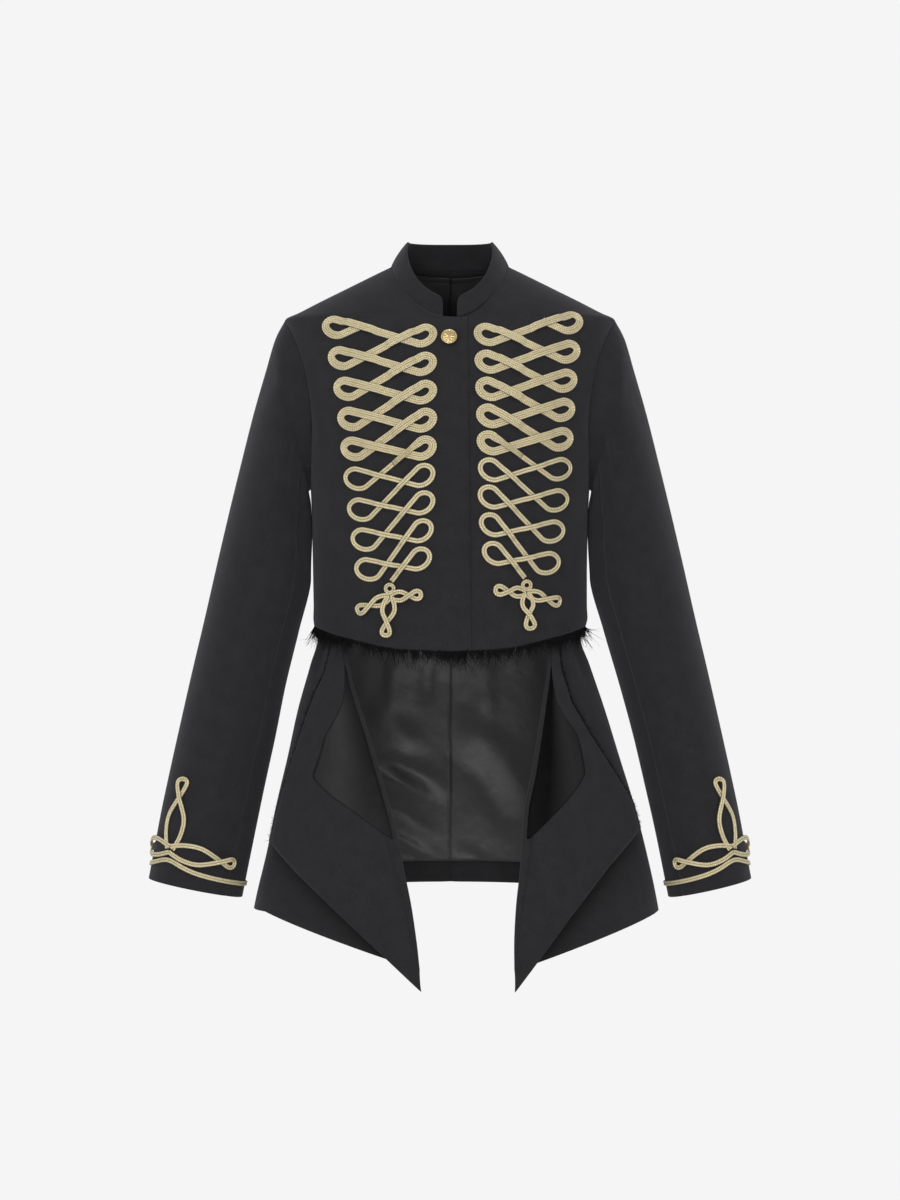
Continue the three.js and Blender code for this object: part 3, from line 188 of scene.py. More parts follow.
# Braid: x and z of each frog's outer end and inner end, x to the outside of the loop, z in its middle.
FROGS = {
    "right": (
        (-0.1435, -0.074, -0.0128, -0.085),
        (-0.1365, -0.109, -0.0129, -0.117),
        (-0.130, -0.1435, -0.0126, -0.1485),
        (-0.1255, -0.177, -0.0125, -0.1795),
        (-0.122, -0.210, -0.0128, -0.210),
        (-0.1185, -0.243, -0.0141, -0.240),
        (-0.1145, -0.277, -0.014, -0.270),
        (-0.1105, -0.310, -0.0156, -0.3005),
        (-0.1065, -0.343, -0.0176, -0.3315),
    ),
    "left": (
        (0.1495, -0.0685, 0.025, -0.083),
        (0.146, -0.1015, 0.0258, -0.114),
        (0.1425, -0.134, 0.0265, -0.1445),
        (0.140, -0.1665, 0.0273, -0.1745),
        (0.138, -0.199, 0.0278, -0.2042),
        (0.1365, -0.232, 0.029, -0.2338),
        (0.133, -0.2665, 0.0286, -0.2636),
        (0.1285, -0.301, 0.0298, -0.294),
        (0.1235, -0.336, 0.033, -0.3255),
    ),
}
LOOP_INNER = 0.0141
LOOP_OUTER = 0.0139
DOUBLE_FROGS = 5
DOUBLE_WIDTH = 0.0094
SINGLE_WIDTH = 0.006
KNOT_WIDTH = 0.0056
RING_WIDTH = 0.0045
BELLY = 0.006
BELLY_END = 0.7
TAPER = 0.016
FROG_PITCH = 0.032
RIB_PLACE = 0.0028
BRAID_BASE = 0.0006
BRAID_HEIGHT = 0.0019
BRAID_STEP = 0.001
CROSSING_LIFT = 0.0025
CROSSING_RAMP = 0.007
TIE_LENGTH = 0.0255
EYELET = 0.0046
CURVE_STEPS = 8
RIB_EDGE = 0.47
RIB_FLOOR = 0.3
RIB_FULLNESS = 0.7
RING_POINTS = 28
RING_LIFT = 0.0016
LEAF_LIFT = 0.0007
LEAF_STEP = 0.0006
CUFF_LEAF_STEP = 0.0005
BAND_POINTS = 240
KNOTS = {
    "right": {
        "x": -0.066, "z": -0.373, "stem_x": -0.0645, "stem_z": -0.3562, "ring": 0.0044, "ring_rise": 0.009,
        "leaves": ((204, 0.024, 0.035, 0.0048), (4, 0.021, 0.030, 0.0048), (265, 0.028, 0.039, 0.0066)),
    },
    "left": {
        "x": 0.084, "z": -0.369, "stem_x": 0.0826, "stem_z": -0.3525, "ring": 0.0044, "ring_rise": 0.0087,
        "leaves": ((174, 0.020, 0.030, 0.0048), (344, 0.023, 0.034, 0.0048), (275, 0.024, 0.035, 0.006)),
    },
}
CUFF_DEGREE = 0.00075
CUFF_TURN = 0.05
CUFF_SLOPE = (0.22, -0.97)
CUFF_MIDDLE_ANGLE = 128
CUFF_MIDDLE_RISE = 0.038
CUFF_BAND_RISE = 0.014
CUFF_BAND_PEAK = 0.012
CUFF_BAND_SPREAD = 0.020
CUFF_LEAVES = ((90, 0.059, 0.074, 0.0096), (-3, 0.048, 0.058, 0.0094), (183, 0.048, 0.058, 0.0094))

SIDES = {"right": -1, "left": 1}
BODY = "root"


def reading(keys, values):
    """Monotone cubic through a table, as a function of arrays."""
    keys = np.array(keys, float)
    values = np.array(values, float)
    if keys[0] > keys[-1]:
        keys = keys[::-1]
        values = values[::-1]
    slopes = np.diff(values) / np.diff(keys)
    product = slopes[:-1] * slopes[1:]
    total = slopes[:-1] + slopes[1:]
    inner = np.where(product > 0, 2 * product / np.where(total == 0, 1, total), 0)
    tangents = np.concatenate([slopes[:1], inner, slopes[-1:]])

    def read(at):
        at = np.clip(at, keys[0], keys[-1])
        k = np.clip(np.searchsorted(keys, at) - 1, 0, len(slopes) - 1)
        width = keys[k + 1] - keys[k]
        s = (at - keys[k]) / width
        start = values[k] * (1 + 2 * s) * (1 - s) ** 2 + tangents[k] * width * s * (1 - s) ** 2
        return start + values[k + 1] * s * s * (3 - 2 * s) + tangents[k + 1] * width * s * s * (s - 1)

    return read


def table(columns, rows):
    """One reading for each column of a table but its first, which is the key."""
    by_column = list(zip(*rows))
    return {name: reading(by_column[0], by_column[k]) for k, name in enumerate(columns) if k > 0}


def smoothstep(value, low, high):
    s = np.clip((value - low) / (high - low), 0, 1)
    return s * s * (3 - 2 * s)


def lerp(first, second, share):
    return first + (second - first) * share


def unit(vectors):
    return vectors / np.maximum(np.linalg.norm(vectors, axis=-1, keepdims=True), 1e-12)


body_table = table(BODY_COLUMNS, BODY_ROWS)
front_hem_z = reading(*zip(*FRONT_HEM))


def half_width(z, side):
    return np.where(np.asarray(side) < 0, body_table["right"](z), body_table["left"](z))


def body_surface(angle, z):
    """The body's outside: angle 0 is the middle of the front and grows towards the wearer's left."""
    angle, z = np.broadcast_arrays(np.asarray(angle, float), np.asarray(z, float))
    across = np.abs(np.sin(angle)) ** (2 / ROUNDNESS) * np.sign(np.sin(angle))
    along = np.abs(np.cos(angle)) ** (2 / ROUNDNESS) * np.sign(np.cos(angle))
    depth = np.where(along > 0, body_table["front"](z), body_table["back"](z))
    return np.stack([half_width(z, across) * across, -depth * along, z], axis=-1)


def body_normal(angle, z):
    turn = 0.01
    rise = 0.0006
    around = body_surface(angle + turn, z) - body_surface(angle - turn, z)
    up = body_surface(angle, z + rise) - body_surface(angle, z - rise)
    return unit(np.cross(around, up))


def body_point(angle, z, height=0.0):
    height = np.asarray(height, float)
    return body_surface(angle, z) + body_normal(angle, z) * height[..., None]


def angle_at(x, z):
    share = np.minimum(np.abs(x) / half_width(z, x), 1)
    return np.arcsin(share ** (ROUNDNESS / 2)) * np.sign(x)


def front_rise(x, z, side):
    """How far the fronts stand off the body: out at the hem, in where the left lies under the right."""
    kick = FRONT_KICK * smoothstep(-z, -FRONT_KICK_Z, -FRONT_HEM_CENTRE)
    under = 1 - smoothstep(x, OVERLAP_INSET_FROM, OVERLAP_INSET_TO)
    return kick - np.where(side > 0, OVERLAP_INSET * under, 0)


def front_point(x, z, height=0.0):
    down = (z - NECK_FRONT_Z) / (FRONT_HEM_CENTRE - NECK_FRONT_Z)
    edge = lerp(OVERLAP_TOP, OVERLAP_HEM, np.clip(down, 0, 1))
    side = np.where(x > edge, 1, -1)
    return body_point(angle_at(x, z), z, height + front_rise(x, z, side))


def armhole_place(turn):
    """Height and angle of the armhole: turn 0 is the underarm, a quarter turn the front."""
    middle = (ARMHOLE_TOP + ARMHOLE_BOTTOM) / 2
    z = middle - (ARMHOLE_TOP - ARMHOLE_BOTTOM) / 2 * np.cos(turn)
    y = -ARMHOLE_HALF_DEPTH * np.sin(turn)
    depth = np.where(y < 0, body_table["front"](z), body_table["back"](z))
    from_front = np.arccos(np.minimum(np.abs(y) / depth, 1) ** (ROUNDNESS / 2))
    return z, np.where(y < 0, from_front, math.pi - from_front)


def armhole_normal(turn, side):
    z, angle = armhole_place(turn)
    radial = np.stack([np.zeros_like(z), -np.sin(turn), -np.cos(turn)], axis=-1)
    return unit(radial + body_normal(angle * side, z))


def neck_half(z):
    return NECK_HALF * np.sqrt(np.maximum(1 - (z / NECK_FRONT_Z) ** NECK_CURVE, 0))


def front_edge_x(z, side):
    if z > NECK_FRONT_Z:
        return side * float(neck_half(z))
    if side > 0:
        return OVERLAP_UNDER
    down = (z - NECK_FRONT_Z) / (FRONT_HEM_CENTRE - NECK_FRONT_Z)
    return lerp(OVERLAP_TOP, OVERLAP_HEM, down)


def panel_rows(top, lower):
    """Rows between the neck and the hem: kind and value of each."""
    rows = [("top", z) for z in top]
    rows += [("armhole", turn) for turn in np.linspace(math.pi, 0, ARMHOLE_ROWS)]
    rows += [("lower", share) for share in lower]
    return rows


def front_panel(side):
    """Grids of points and normals of one front."""
    top = np.concatenate([np.linspace(-0.002, -0.054, 16), np.linspace(-0.0555, -0.0588, 4)])
    rows = panel_rows(top, np.linspace(0.02, 1, 46))
    share = np.linspace(0, 1, FRONT_COLUMNS + 1)
    points = []
    normals = []
    for kind, value in rows:
        guess = value if kind == "top" else ARMHOLE_BOTTOM
        last = math.pi / 2
        if kind == "armhole":
            guess, last = (float(v) for v in armhole_place(np.array(value)))
        if kind == "lower":
            guess = lerp(ARMHOLE_BOTTOM, FRONT_HEM_CENTRE, value)
        first = float(angle_at(np.array(front_edge_x(guess, side)), guess))
        angle = lerp(first, side * last, share)
        z = np.full_like(angle, guess)
        if kind == "lower":
            hem = front_hem_z(np.abs(np.sin(angle)) ** (2 / ROUNDNESS))
            z = lerp(ARMHOLE_BOTTOM, hem, value)
        x = body_surface(angle, z)[:, 0]
        rise = front_rise(x, z, side)
        normal = body_normal(angle, z)
        if kind == "armhole":
            ease = smoothstep(share, FRONT_EASE, 1)
            rise = rise * (1 - ease)
            normal = unit(lerp(normal, armhole_normal(np.array(value), side), ease[:, None]))
        points.append(body_surface(angle, z) + body_normal(angle, z) * rise[:, None])
        normals.append(normal)
    return np.array(points), np.array(normals)


def back_panel(side, end_share=1.0):
    """Grids of points and normals of one back, from the centre seam to the armhole or side seam."""
    rows = panel_rows(np.linspace(0, -0.056, 18), np.linspace(0.01, end_share, 104))
    share = np.linspace(0, 1, BACK_COLUMNS + 1)
    points = []
    normals = []
    for kind, value in rows:
        last = math.pi / 2
        if kind == "armhole":
            last = float(armhole_place(np.array(2 * math.pi - value))[1])
        angle = side * lerp(math.pi, last, share)
        z = np.full_like(angle, value)
        if kind == "armhole":
            z[:] = float(armhole_place(np.array(value))[0])
        if kind == "lower":
            hem = BACK_HEM_CENTRE - BACK_HEM_DROP * np.sin(angle) ** 2
            z = lerp(ARMHOLE_BOTTOM, hem, value)
        normal = body_normal(angle, z)
        if kind == "armhole":
            ease = smoothstep(share, BACK_EASE, 1)
            normal = unit(lerp(normal, armhole_normal(np.array(2 * math.pi - value), side), ease[:, None]))
        points.append(body_surface(angle, z))
        normals.append(normal)
    return np.array(points), np.array(normals)


def crease_depth(a, b, creases):
    """Sum of soft troughs and ridges. Each crease runs from one place to another with a bow."""
    total = np.zeros_like(a)
    for a0, b0, a1, b1, bow, width, depth in creases:
        length = math.hypot(a1 - a0, b1 - b0)
        along = ((a - a0) * (a1 - a0) + (b - b0) * (b1 - b0)) / length ** 2
        off = ((a - a0) * (b1 - b0) - (b - b0) * (a1 - a0)) / length
        inside = np.clip(along, 0, 1)
        off = off - bow * np.sin(math.pi * inside)
        fade = smoothstep(along, -0.08, 0.35) * (1 - smoothstep(along, 0.65, 1.08))
        total += depth * np.exp(-(off / width) ** 2) * fade
    return total


def grid_lengths(points):
    """Distances along the rows and down the columns of a grid, for its weave."""
    across = np.linalg.norm(np.diff(points, axis=1), axis=2)
    down = np.linalg.norm(np.diff(points, axis=0), axis=2)
    u = np.concatenate([np.zeros((points.shape[0], 1)), np.cumsum(across, axis=1)], axis=1)
    v = np.concatenate([np.zeros((1, points.shape[1])), np.cumsum(down, axis=0)], axis=0)
    return u - u.mean(axis=1, keepdims=True), v


def pull_in(points, gap):
    """Pulls the rim of a grid in, so that pieces lie apart at their seams."""
    pulled = points.copy()
    pulled[:, 0] += unit(points[:, 1] - points[:, 0]) * gap
    pulled[:, -1] += unit(points[:, -2] - points[:, -1]) * gap
    pulled[0] += unit(points[1] - points[0]) * gap
    pulled[-1] += unit(points[-2] - points[-1]) * gap
    return pulled


def add_mesh(name, vertices, faces, material, uvs=None, shade=None):
    mesh = bpy.data.meshes.new(name)
    mesh.from_pydata([tuple(v) for v in vertices], [], faces)
    mesh.validate()
    mesh.polygons.foreach_set("use_smooth", [True] * len(mesh.polygons))
    loops = np.zeros(len(mesh.loops), int)
    mesh.loops.foreach_get("vertex_index", loops)
    for map_name, values in (("cloth", uvs), ("shade", shade)):
        if values is not None:
            layer = mesh.uv_layers.new(name=map_name)
            layer.data.foreach_set("uv", np.asarray(values, float)[loops].ravel())
    mesh.materials.append(material)
    obj = bpy.data.objects.new(name, mesh)
    bpy.context.scene.collection.objects.link(obj)
    return obj


def shell(name, points, normals, thickness, material, shade=None):
    """A thin closed cloth: two skins, with a rounded rim between them."""
    rows, columns = points.shape[:2]
    inner = points - normals * thickness
    u, v = grid_lengths(points)
    ring = [(0, c) for c in range(columns)] + [(r, columns - 1) for r in range(1, rows)]
    ring += [(rows - 1, c) for c in range(columns - 2, -1, -1)] + [(r, 0) for r in range(rows - 2, 0, -1)]
    middle = []
    for r, c in ring:
        inward = points[min(max(r, 1), rows - 2), min(max(c, 1), columns - 2)] - points[r, c]
        flat = inward - normals[r, c] * np.dot(inward, normals[r, c])
        middle.append((points[r, c] + inner[r, c]) / 2 - unit(flat) * thickness * RIM_BULGE)
    vertices = np.concatenate([points.reshape(-1, 3), inner.reshape(-1, 3), np.array(middle)])
    count = rows * columns
    faces = []
    for r in range(rows - 1):
        for c in range(columns - 1):
            a = r * columns + c
            faces.append((a, a + columns, a + columns + 1, a + 1))
            faces.append((count + a, count + a + 1, count + a + columns + 1, count + a + columns))
    for k, (r, c) in enumerate(ring):
        r2, c2 = ring[(k + 1) % len(ring)]
        a = r * columns + c
        b = r2 * columns + c2
        m = 2 * count + k
        n = 2 * count + (k + 1) % len(ring)
        faces.append((a, b, n, m))
        faces.append((m, n, count + b, count + a))
    flat_uv = np.stack([u, v], axis=2).reshape(-1, 2)
    ring_uv = np.array([(u[r, c], v[r, c]) for r, c in ring])
    uvs = np.concatenate([flat_uv, flat_uv, ring_uv])
    darkness = None
    if shade is not None:
        flat_shade = np.stack([shade, np.zeros_like(shade)], axis=2).reshape(-1, 2)
        ring_shade = np.array([(shade[r, c], 0) for r, c in ring])
        darkness = np.concatenate([flat_shade, flat_shade, ring_shade])
    obj = add_mesh(name, vertices, faces, material, uvs, darkness)
    face_out(obj)
    return obj


def face_out(obj):
    """Turns a closed mesh's faces outwards."""
    mesh = obj.data
    mesh.calc_loop_triangles()
    corners = np.zeros(len(mesh.loop_triangles) * 3, int)
    mesh.loop_triangles.foreach_get("vertices", corners)
    places = np.zeros(len(mesh.vertices) * 3)
    mesh.vertices.foreach_get("co", places)
    a, b, c = places.reshape(-1, 3)[corners.reshape(-1, 3)].transpose(1, 0, 2)
    if (a * np.cross(b, c)).sum() < 0:
        mesh.flip_normals()


def cloth_piece(obj, slot, flat, area, rests_on, *nodes):
    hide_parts(*nodes)
    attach(obj, BODY)


def trim_piece(obj, slot, *nodes):
    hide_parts(*nodes)
    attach(obj, BODY)


# Materials. The camera sees a backdrop of one tone, which gives the jacket less light than that.
SKY = 0.913
STUDIO_FILL = 0.58
TWILL = 0.0011
WEFT = TWILL / 1.4
WARP = 0.0006
PLAIT = 0.0022


class Nodes:
    """Short calls for building a node tree."""

    def __init__(self, name):
        self.material = bpy.data.materials.new(name)
        self.material.use_nodes = True
        self.tree = self.material.node_tree
        self.shader = self.tree.nodes["Principled BSDF"]

    def add(self, kind, inputs=None, **settings):
        node = self.tree.nodes.new(kind)
        for key, value in settings.items():
            setattr(node, key, value)
        for key, value in (inputs or {}).items():
            self.put(node.inputs[key], value)
        return node

    def put(self, socket, value):
        if isinstance(value, bpy.types.NodeSocket):
            self.tree.links.new(value, socket)
        else:
            socket.default_value = value

    def math(self, operation, first, second=0.0):
        return self.add("ShaderNodeMath", {0: first, 1: second}, operation=operation).outputs[0]

    def noise(self, vector, scale, detail=2.0, rough=0.5):
        inputs = {"Vector": vector, "Scale": scale, "Detail": detail, "Roughness": rough}
        return self.add("ShaderNodeTexNoise", inputs).outputs["Fac"]

    def span(self, value, low, high, to_low, to_high):
        inputs = {"Value": value, "From Min": low, "From Max": high, "To Min": to_low, "To Max": to_high}
        return self.add("ShaderNodeMapRange", inputs).outputs["Result"]

    def mix(self, share, first, second):
        node = self.add("ShaderNodeMix", data_type="RGBA")
        for key, value in ((0, share), (6, first), (7, second)):
            self.put(node.inputs[key], value)
        return node.outputs[2]

    def bump(self, height, distance, strength=1.0, normal=None):
        node = self.add("ShaderNodeBump", {"Height": height, "Distance": distance, "Strength": strength})
        if normal is not None:
            self.put(node.inputs["Normal"], normal)
        return node.outputs["Normal"]

    def weave(self):
        """Places along and across the cloth, in metres."""
        uv = self.add("ShaderNodeUVMap", uv_map="cloth").outputs["UV"]
        return self.add("ShaderNodeSeparateXYZ", {"Vector": uv}).outputs

    def place(self):
        return self.add("ShaderNodeTexCoord").outputs["Object"]

    def painted_shade(self):
        """Painted shade beside a fold, from 0 to 1, on pieces that have such a map."""
        uv = self.add("ShaderNodeUVMap", uv_map="shade").outputs["UV"]
        return self.add("ShaderNodeSeparateXYZ", {"Vector": uv}).outputs["X"]

    def waves(self, value, length):
        return self.math("SINE", self.math("MULTIPLY", value, 2 * math.pi / length))

    def seen_by_camera(self, unseen):
        """One for the camera's own rays, and a lower value for the light that falls on the jacket."""
        camera_ray = self.add("ShaderNodeLightPath").outputs["Is Camera Ray"]
        return self.span(camera_ray, 0, 1, unseen, 1)

    def set(self, **inputs):
        for key, value in inputs.items():
            self.put(self.shader.inputs[key.replace("_", " ")], value)


def wool_material():
    """Fine twill: diagonal ribs of short threads, a little mottled, with a soft nap, and painted shadow
    where a shade map is set.
    """
    n = Nodes("wool")
    weave = n.weave()
    rib = n.waves(n.math("ADD", weave["X"], weave["Y"]), TWILL)
    weft = n.waves(weave["Y"], WEFT)
    fibre = n.noise(n.place(), 900, 3.0, 0.6)
    mottle = n.noise(n.place(), 60, 4.0, 0.55)
    relief = n.math("ADD", n.math("MULTIPLY", rib, 0.5), n.math("MULTIPLY", weft, 0.25))
    shade = n.math("ADD", n.span(relief, -0.75, 0.75, 0.36, 0.6), n.span(fibre, 0.3, 0.7, -0.22, 0.22))
    shade = n.math("ADD", shade, n.span(mottle, 0.3, 0.7, -0.1, 0.1))
    colour = n.mix(shade, (0.0085, 0.0080, 0.0088, 1), (0.0290, 0.0275, 0.0300, 1))
    # Painted shadow beside the tails' folds, where the piece has a shade map.
    colour = n.mix(n.painted_shade(), colour, (0.003, 0.003, 0.0032, 1))
    height = n.math("ADD", relief, n.math("MULTIPLY", fibre, 1.2))
    n.set(Base_Color=colour, Roughness=0.88, Normal=n.bump(height, 0.00012, 0.6))
    n.set(Sheen_Weight=0.1, Sheen_Roughness=0.5, Sheen_Tint=(0.9, 0.9, 1.0, 1), Specular_IOR_Level=0.14)
    return n.material


def satin_material():
    """Black satin: fine warp lines, soft gloss, shallow rumples, the seam in the middle of the back, and
    painted shade where a shade map is set.
    """
    n = Nodes("satin")
    place = n.place()
    warp = n.waves(n.weave()["X"], WARP)
    rumple = n.noise(place, 22, 3.0, 0.5)
    tone = n.span(n.noise(place, 240, 2.0), 0.3, 0.7, 0.3, 0.7)
    colour = n.mix(tone, (0.0130, 0.0130, 0.0134, 1), (0.0215, 0.0215, 0.0220, 1))
    # Painted shade on the tails' lining kites: darker and less glossy where the shade map is set.
    painted_dim = n.painted_shade()
    colour = n.mix(painted_dim, colour, (0.0015, 0.0013, 0.0013, 1))
    middle = n.math("ABSOLUTE", n.add("ShaderNodeSeparateXYZ", {"Vector": place}).outputs["X"])
    colour = n.mix(n.span(middle, 0.0003, 0.0011, 0.9, 0), colour, (0.0008, 0.0008, 0.0008, 1))
    normal = n.bump(rumple, 0.004, 0.5)
    normal = n.bump(warp, 0.00004, 0.4, normal)
    normal = n.bump(n.span(middle, 0, 0.003, 0, 1), 0.0009, 0.7, normal)
    gloss = n.span(painted_dim, 0, 1, 0.42, 0.04)
    n.set(Base_Color=colour, Roughness=0.4, Normal=normal, Specular_IOR_Level=gloss)
    n.set(Sheen_Weight=0.06, Sheen_Roughness=0.3)
    return n.material


def braid_material():
    """Soutache in pale metallic thread: chevrons of plaited gold over its two ribs, and painted shade at
    each rib's sides.
    """
    n = Nodes("braid")
    weave = n.weave()
    offset = n.math("ABSOLUTE", weave["Y"])
    plait = n.waves(n.math("SUBTRACT", weave["X"], n.math("MULTIPLY", offset, 1.1)), PLAIT)
    glint = n.noise(n.place(), 1400, 2.0, 0.6)
    lift = n.math("ADD", n.span(plait, -1, 1, 0, 0.6), n.span(glint, 0.3, 0.7, 0, 0.4))
    colour = n.mix(lift, (0.29, 0.235, 0.115, 1), (0.98, 0.87, 0.58, 1))
    # Painted shade: darker towards the sides of each rib, in the grooves between them and at the edges.
    groove = n.span(offset, 0.00095, 0.0014, 0, 1)
    colour = n.mix(groove, colour, (0.12, 0.095, 0.035, 1))
    n.set(Base_Color=colour, Metallic=0.35, Roughness=0.44, Normal=n.bump(lift, 0.0004, 0.9))
    n.set(Sheen_Weight=0.12, Sheen_Roughness=0.4)
    return n.material


def brass_material():
    """Warm gilt metal, a little worn and brushed by handling."""
    n = Nodes("brass")
    wear = n.noise(n.place(), 700, 3.0, 0.6)
    colour = n.mix(n.span(wear, 0.35, 0.65, 0, 1), (0.42, 0.29, 0.11, 1), (0.86, 0.70, 0.40, 1))
    rough = n.span(wear, 0.3, 0.7, 0.22, 0.42)
    n.set(Base_Color=colour, Metallic=1.0, Roughness=rough, Normal=n.bump(wear, 0.0004, 0.9))
    return n.material


def thread_material():
    """Loose wool threads, a shade blacker than the cloth."""
    n = Nodes("thread")
    tone = n.span(n.noise(n.place(), 500, 2.0), 0.3, 0.7, 0.2, 0.8)
    colour = n.mix(tone, (0.003, 0.003, 0.0035, 1), (0.010, 0.0095, 0.011, 1))
    n.set(Base_Color=colour, Roughness=0.9, Specular_IOR_Level=0.1)
    return n.material


def floor_material():
    """A plain seamless backdrop, as bright as the studio behind it."""
    n = Nodes("floor")
    n.set(Base_Color=(0, 0, 0, 1), Roughness=1.0, Specular_IOR_Level=0.0)
    n.set(Emission_Color=(SKY, SKY, SKY, 1), Emission_Strength=n.seen_by_camera(STUDIO_FILL / SKY))
    return n.material


wool = wool_material()
satin = satin_material()
gold = braid_material()
brass = brass_material()
thread = thread_material()


# Fronts, backs and lining.
# Creases on a panel seen from the front: from x, z to x, z, bow, width and depth.
FRONT_CREASES = {
    "right": (
        (-0.175, -0.118, -0.155, -0.215, -0.004, 0.007, -0.0022),
        (-0.150, -0.245, -0.128, -0.330, 0.003, 0.010, -0.0013),
        (-0.150, -0.300, -0.095, -0.280, 0.002, 0.009, 0.0011),
        (-0.055, -0.075, -0.110, -0.052, 0.003, 0.009, -0.0011),
        (-0.120, -0.400, -0.080, -0.378, 0.002, 0.010, 0.0010),
        (-0.0918, -0.372, -0.0918, -0.440, 0, 0.0012, -0.0009),
    ),
    "left": (
        (0.176, -0.115, 0.157, -0.212, 0.004, 0.007, -0.0022),
        (0.151, -0.250, 0.132, -0.345, -0.003, 0.010, -0.0013),
        (0.152, -0.310, 0.100, -0.288, -0.002, 0.009, 0.0011),
        (0.060, -0.078, 0.115, -0.055, -0.003, 0.009, -0.0010),
        (0.125, -0.392, 0.085, -0.380, -0.002, 0.010, 0.0009),
        (0.104, -0.372, 0.104, -0.440, 0, 0.0012, -0.0009),
    ),
}
BACK_CREASES = {
    "right": (
        (-0.170, -0.120, -0.150, -0.225, -0.004, 0.008, -0.0024),
        (-0.145, -0.258, -0.085, -0.290, 0.004, 0.011, -0.0016),
        (-0.150, -0.345, -0.060, -0.375, 0.006, 0.010, -0.0019),
        (-0.150, -0.395, -0.075, -0.392, 0.004, 0.009, -0.0014),
        (-0.110, -0.440, -0.130, -0.600, 0.006, 0.022, 0.0028),
        (-0.060, -0.470, -0.072, -0.640, -0.004, 0.020, -0.0024),
    ),
    "left": (
        (0.171, -0.118, 0.151, -0.221, 0.004, 0.008, -0.0024),
        (0.146, -0.262, 0.080, -0.286, -0.004, 0.011, -0.0015),
        (0.151, -0.350, 0.065, -0.368, -0.006, 0.010, -0.0018),
        (0.150, -0.401, 0.080, -0.396, -0.004, 0.009, -0.0013),
        (0.116, -0.445, 0.140, -0.610, -0.006, 0.022, 0.0028),
        (0.064, -0.480, 0.075, -0.650, 0.004, 0.020, -0.0022),
    ),
}
LINING_CREASES = (
    (-0.110, -0.545, -0.010, -0.668, -0.012, 0.010, -0.0034),
    (-0.100, -0.560, -0.004, -0.600, -0.010, 0.009, 0.0026),
    (-0.090, -0.575, -0.006, -0.625, -0.008, 0.008, -0.0028),
    (-0.085, -0.610, -0.010, -0.655, -0.006, 0.007, 0.0024),
    (-0.080, -0.645, -0.020, -0.684, -0.004, 0.004, -0.0030),
    (-0.060, -0.668, -0.012, -0.692, -0.002, 0.003, 0.0024),
    (-0.095, -0.490, -0.030, -0.550, 0.006, 0.014, 0.0034),
    (0.006, -0.505, 0.092, -0.615, -0.010, 0.018, 0.0040),
    (0.004, -0.548, 0.078, -0.655, -0.006, 0.014, -0.0030),
    (0.010, -0.660, 0.060, -0.690, 0.004, 0.006, 0.0022),
    (-0.060, -0.430, -0.066, -0.520, 0.003, 0.012, 0.0034),
    (-0.028, -0.430, -0.030, -0.500, -0.002, 0.009, -0.0030),
    (0.040, -0.430, 0.046, -0.520, 0.003, 0.014, 0.0030),
    (0.008, -0.012, 0.012, -0.120, 0.002, 0.006, 0.0030),
    (0.030, -0.020, 0.022, -0.110, -0.002, 0.007, -0.0024),
    (-0.040, -0.015, -0.028, -0.100, 0.002, 0.008, 0.0022),
)
FRONT_FLAT = ((0.245, 0.450), 0.088)
BACK_FLAT = ((0.300, 0.720), 0.165)
LINING_FLAT = ((0.560, 0.700), 0.310)
LINING_EASE = 0.0062
LINING_PLEAT = 0.0022
LINING_PLEAT_EDGE = 0.0006
LINING_PLEAT_REACH = 0.012
LINING_FLAT_EDGE = 0.05
LINING_DROP = 0.0008
LINING_INSET = 0.0012


def add_fronts():
    for name, side in SIDES.items():
        points, normals = front_panel(side)
        depth = crease_depth(points[..., 0], points[..., 2], FRONT_CREASES[name])
        points = pull_in(points + normals * depth[..., None], SEAM)
        obj = shell(f"front_cloth_{name}", points, normals, WOOL, wool)
        cloth_piece(obj, "wool", *FRONT_FLAT, [f"back_cloth_{name}"], f"front_{name}")


def add_backs():
    for name, side in SIDES.items():
        points, normals = back_panel(side)
        depth = crease_depth(points[..., 0], points[..., 2], BACK_CREASES[name])
        points = pull_in(points + normals * depth[..., None], SEAM)
        obj = shell(f"back_cloth_{name}", points, normals, WOOL, wool)
        cloth_piece(obj, "wool", *BACK_FLAT, ["collar_cloth"], f"back_{name}")


def add_lining():
    """The lining lies inside both backs and stops short of the hem; its centre seam is a fine groove."""
    grids = [back_panel(side, end_share=LINING_SHARE) for side in (-1, 1)]
    points = np.concatenate([grids[0][0][:, :0:-1], grids[1][0]], axis=1)
    normals = np.concatenate([grids[0][1][:, :0:-1], grids[1][1]], axis=1)
    x = points[..., 0]
    depth = crease_depth(x, points[..., 2], LINING_CREASES)
    pleat = LINING_PLEAT * smoothstep(x, -LINING_PLEAT_EDGE, LINING_PLEAT_EDGE)
    pleat = pleat * np.exp(-np.maximum(x, 0) / LINING_PLEAT_REACH)
    inward = WOOL + LAYER_GAP + LINING_EASE + pleat - depth
    edge = np.minimum(np.abs(np.abs(x) - np.abs(x[:, :1])), LINING_FLAT_EDGE) / LINING_FLAT_EDGE
    inward = lerp(WOOL + LAYER_GAP, np.maximum(inward, WOOL + LAYER_GAP), smoothstep(edge, 0, 1))
    points = points - normals * inward[..., None]
    points[0, :, 2] -= LINING_DROP
    points = pull_in(points, LINING_INSET)
    obj = shell("lining_cloth", points, normals, SATIN, satin)
    cloth_piece(obj, "satin", *LINING_FLAT, ["back_cloth_right", "back_cloth_left"], "lining_back")


# Collar.
COLLAR_HEIGHT = 0.028
COLLAR_FRONT_HEIGHT = 0.0225
COLLAR_LEAN = 0.018
COLLAR_LEAN_FRONT = 0.004
COLLAR_END = 0.0085
COLLAR_CORNER = 0.008
COLLAR_LIFT = -0.0002


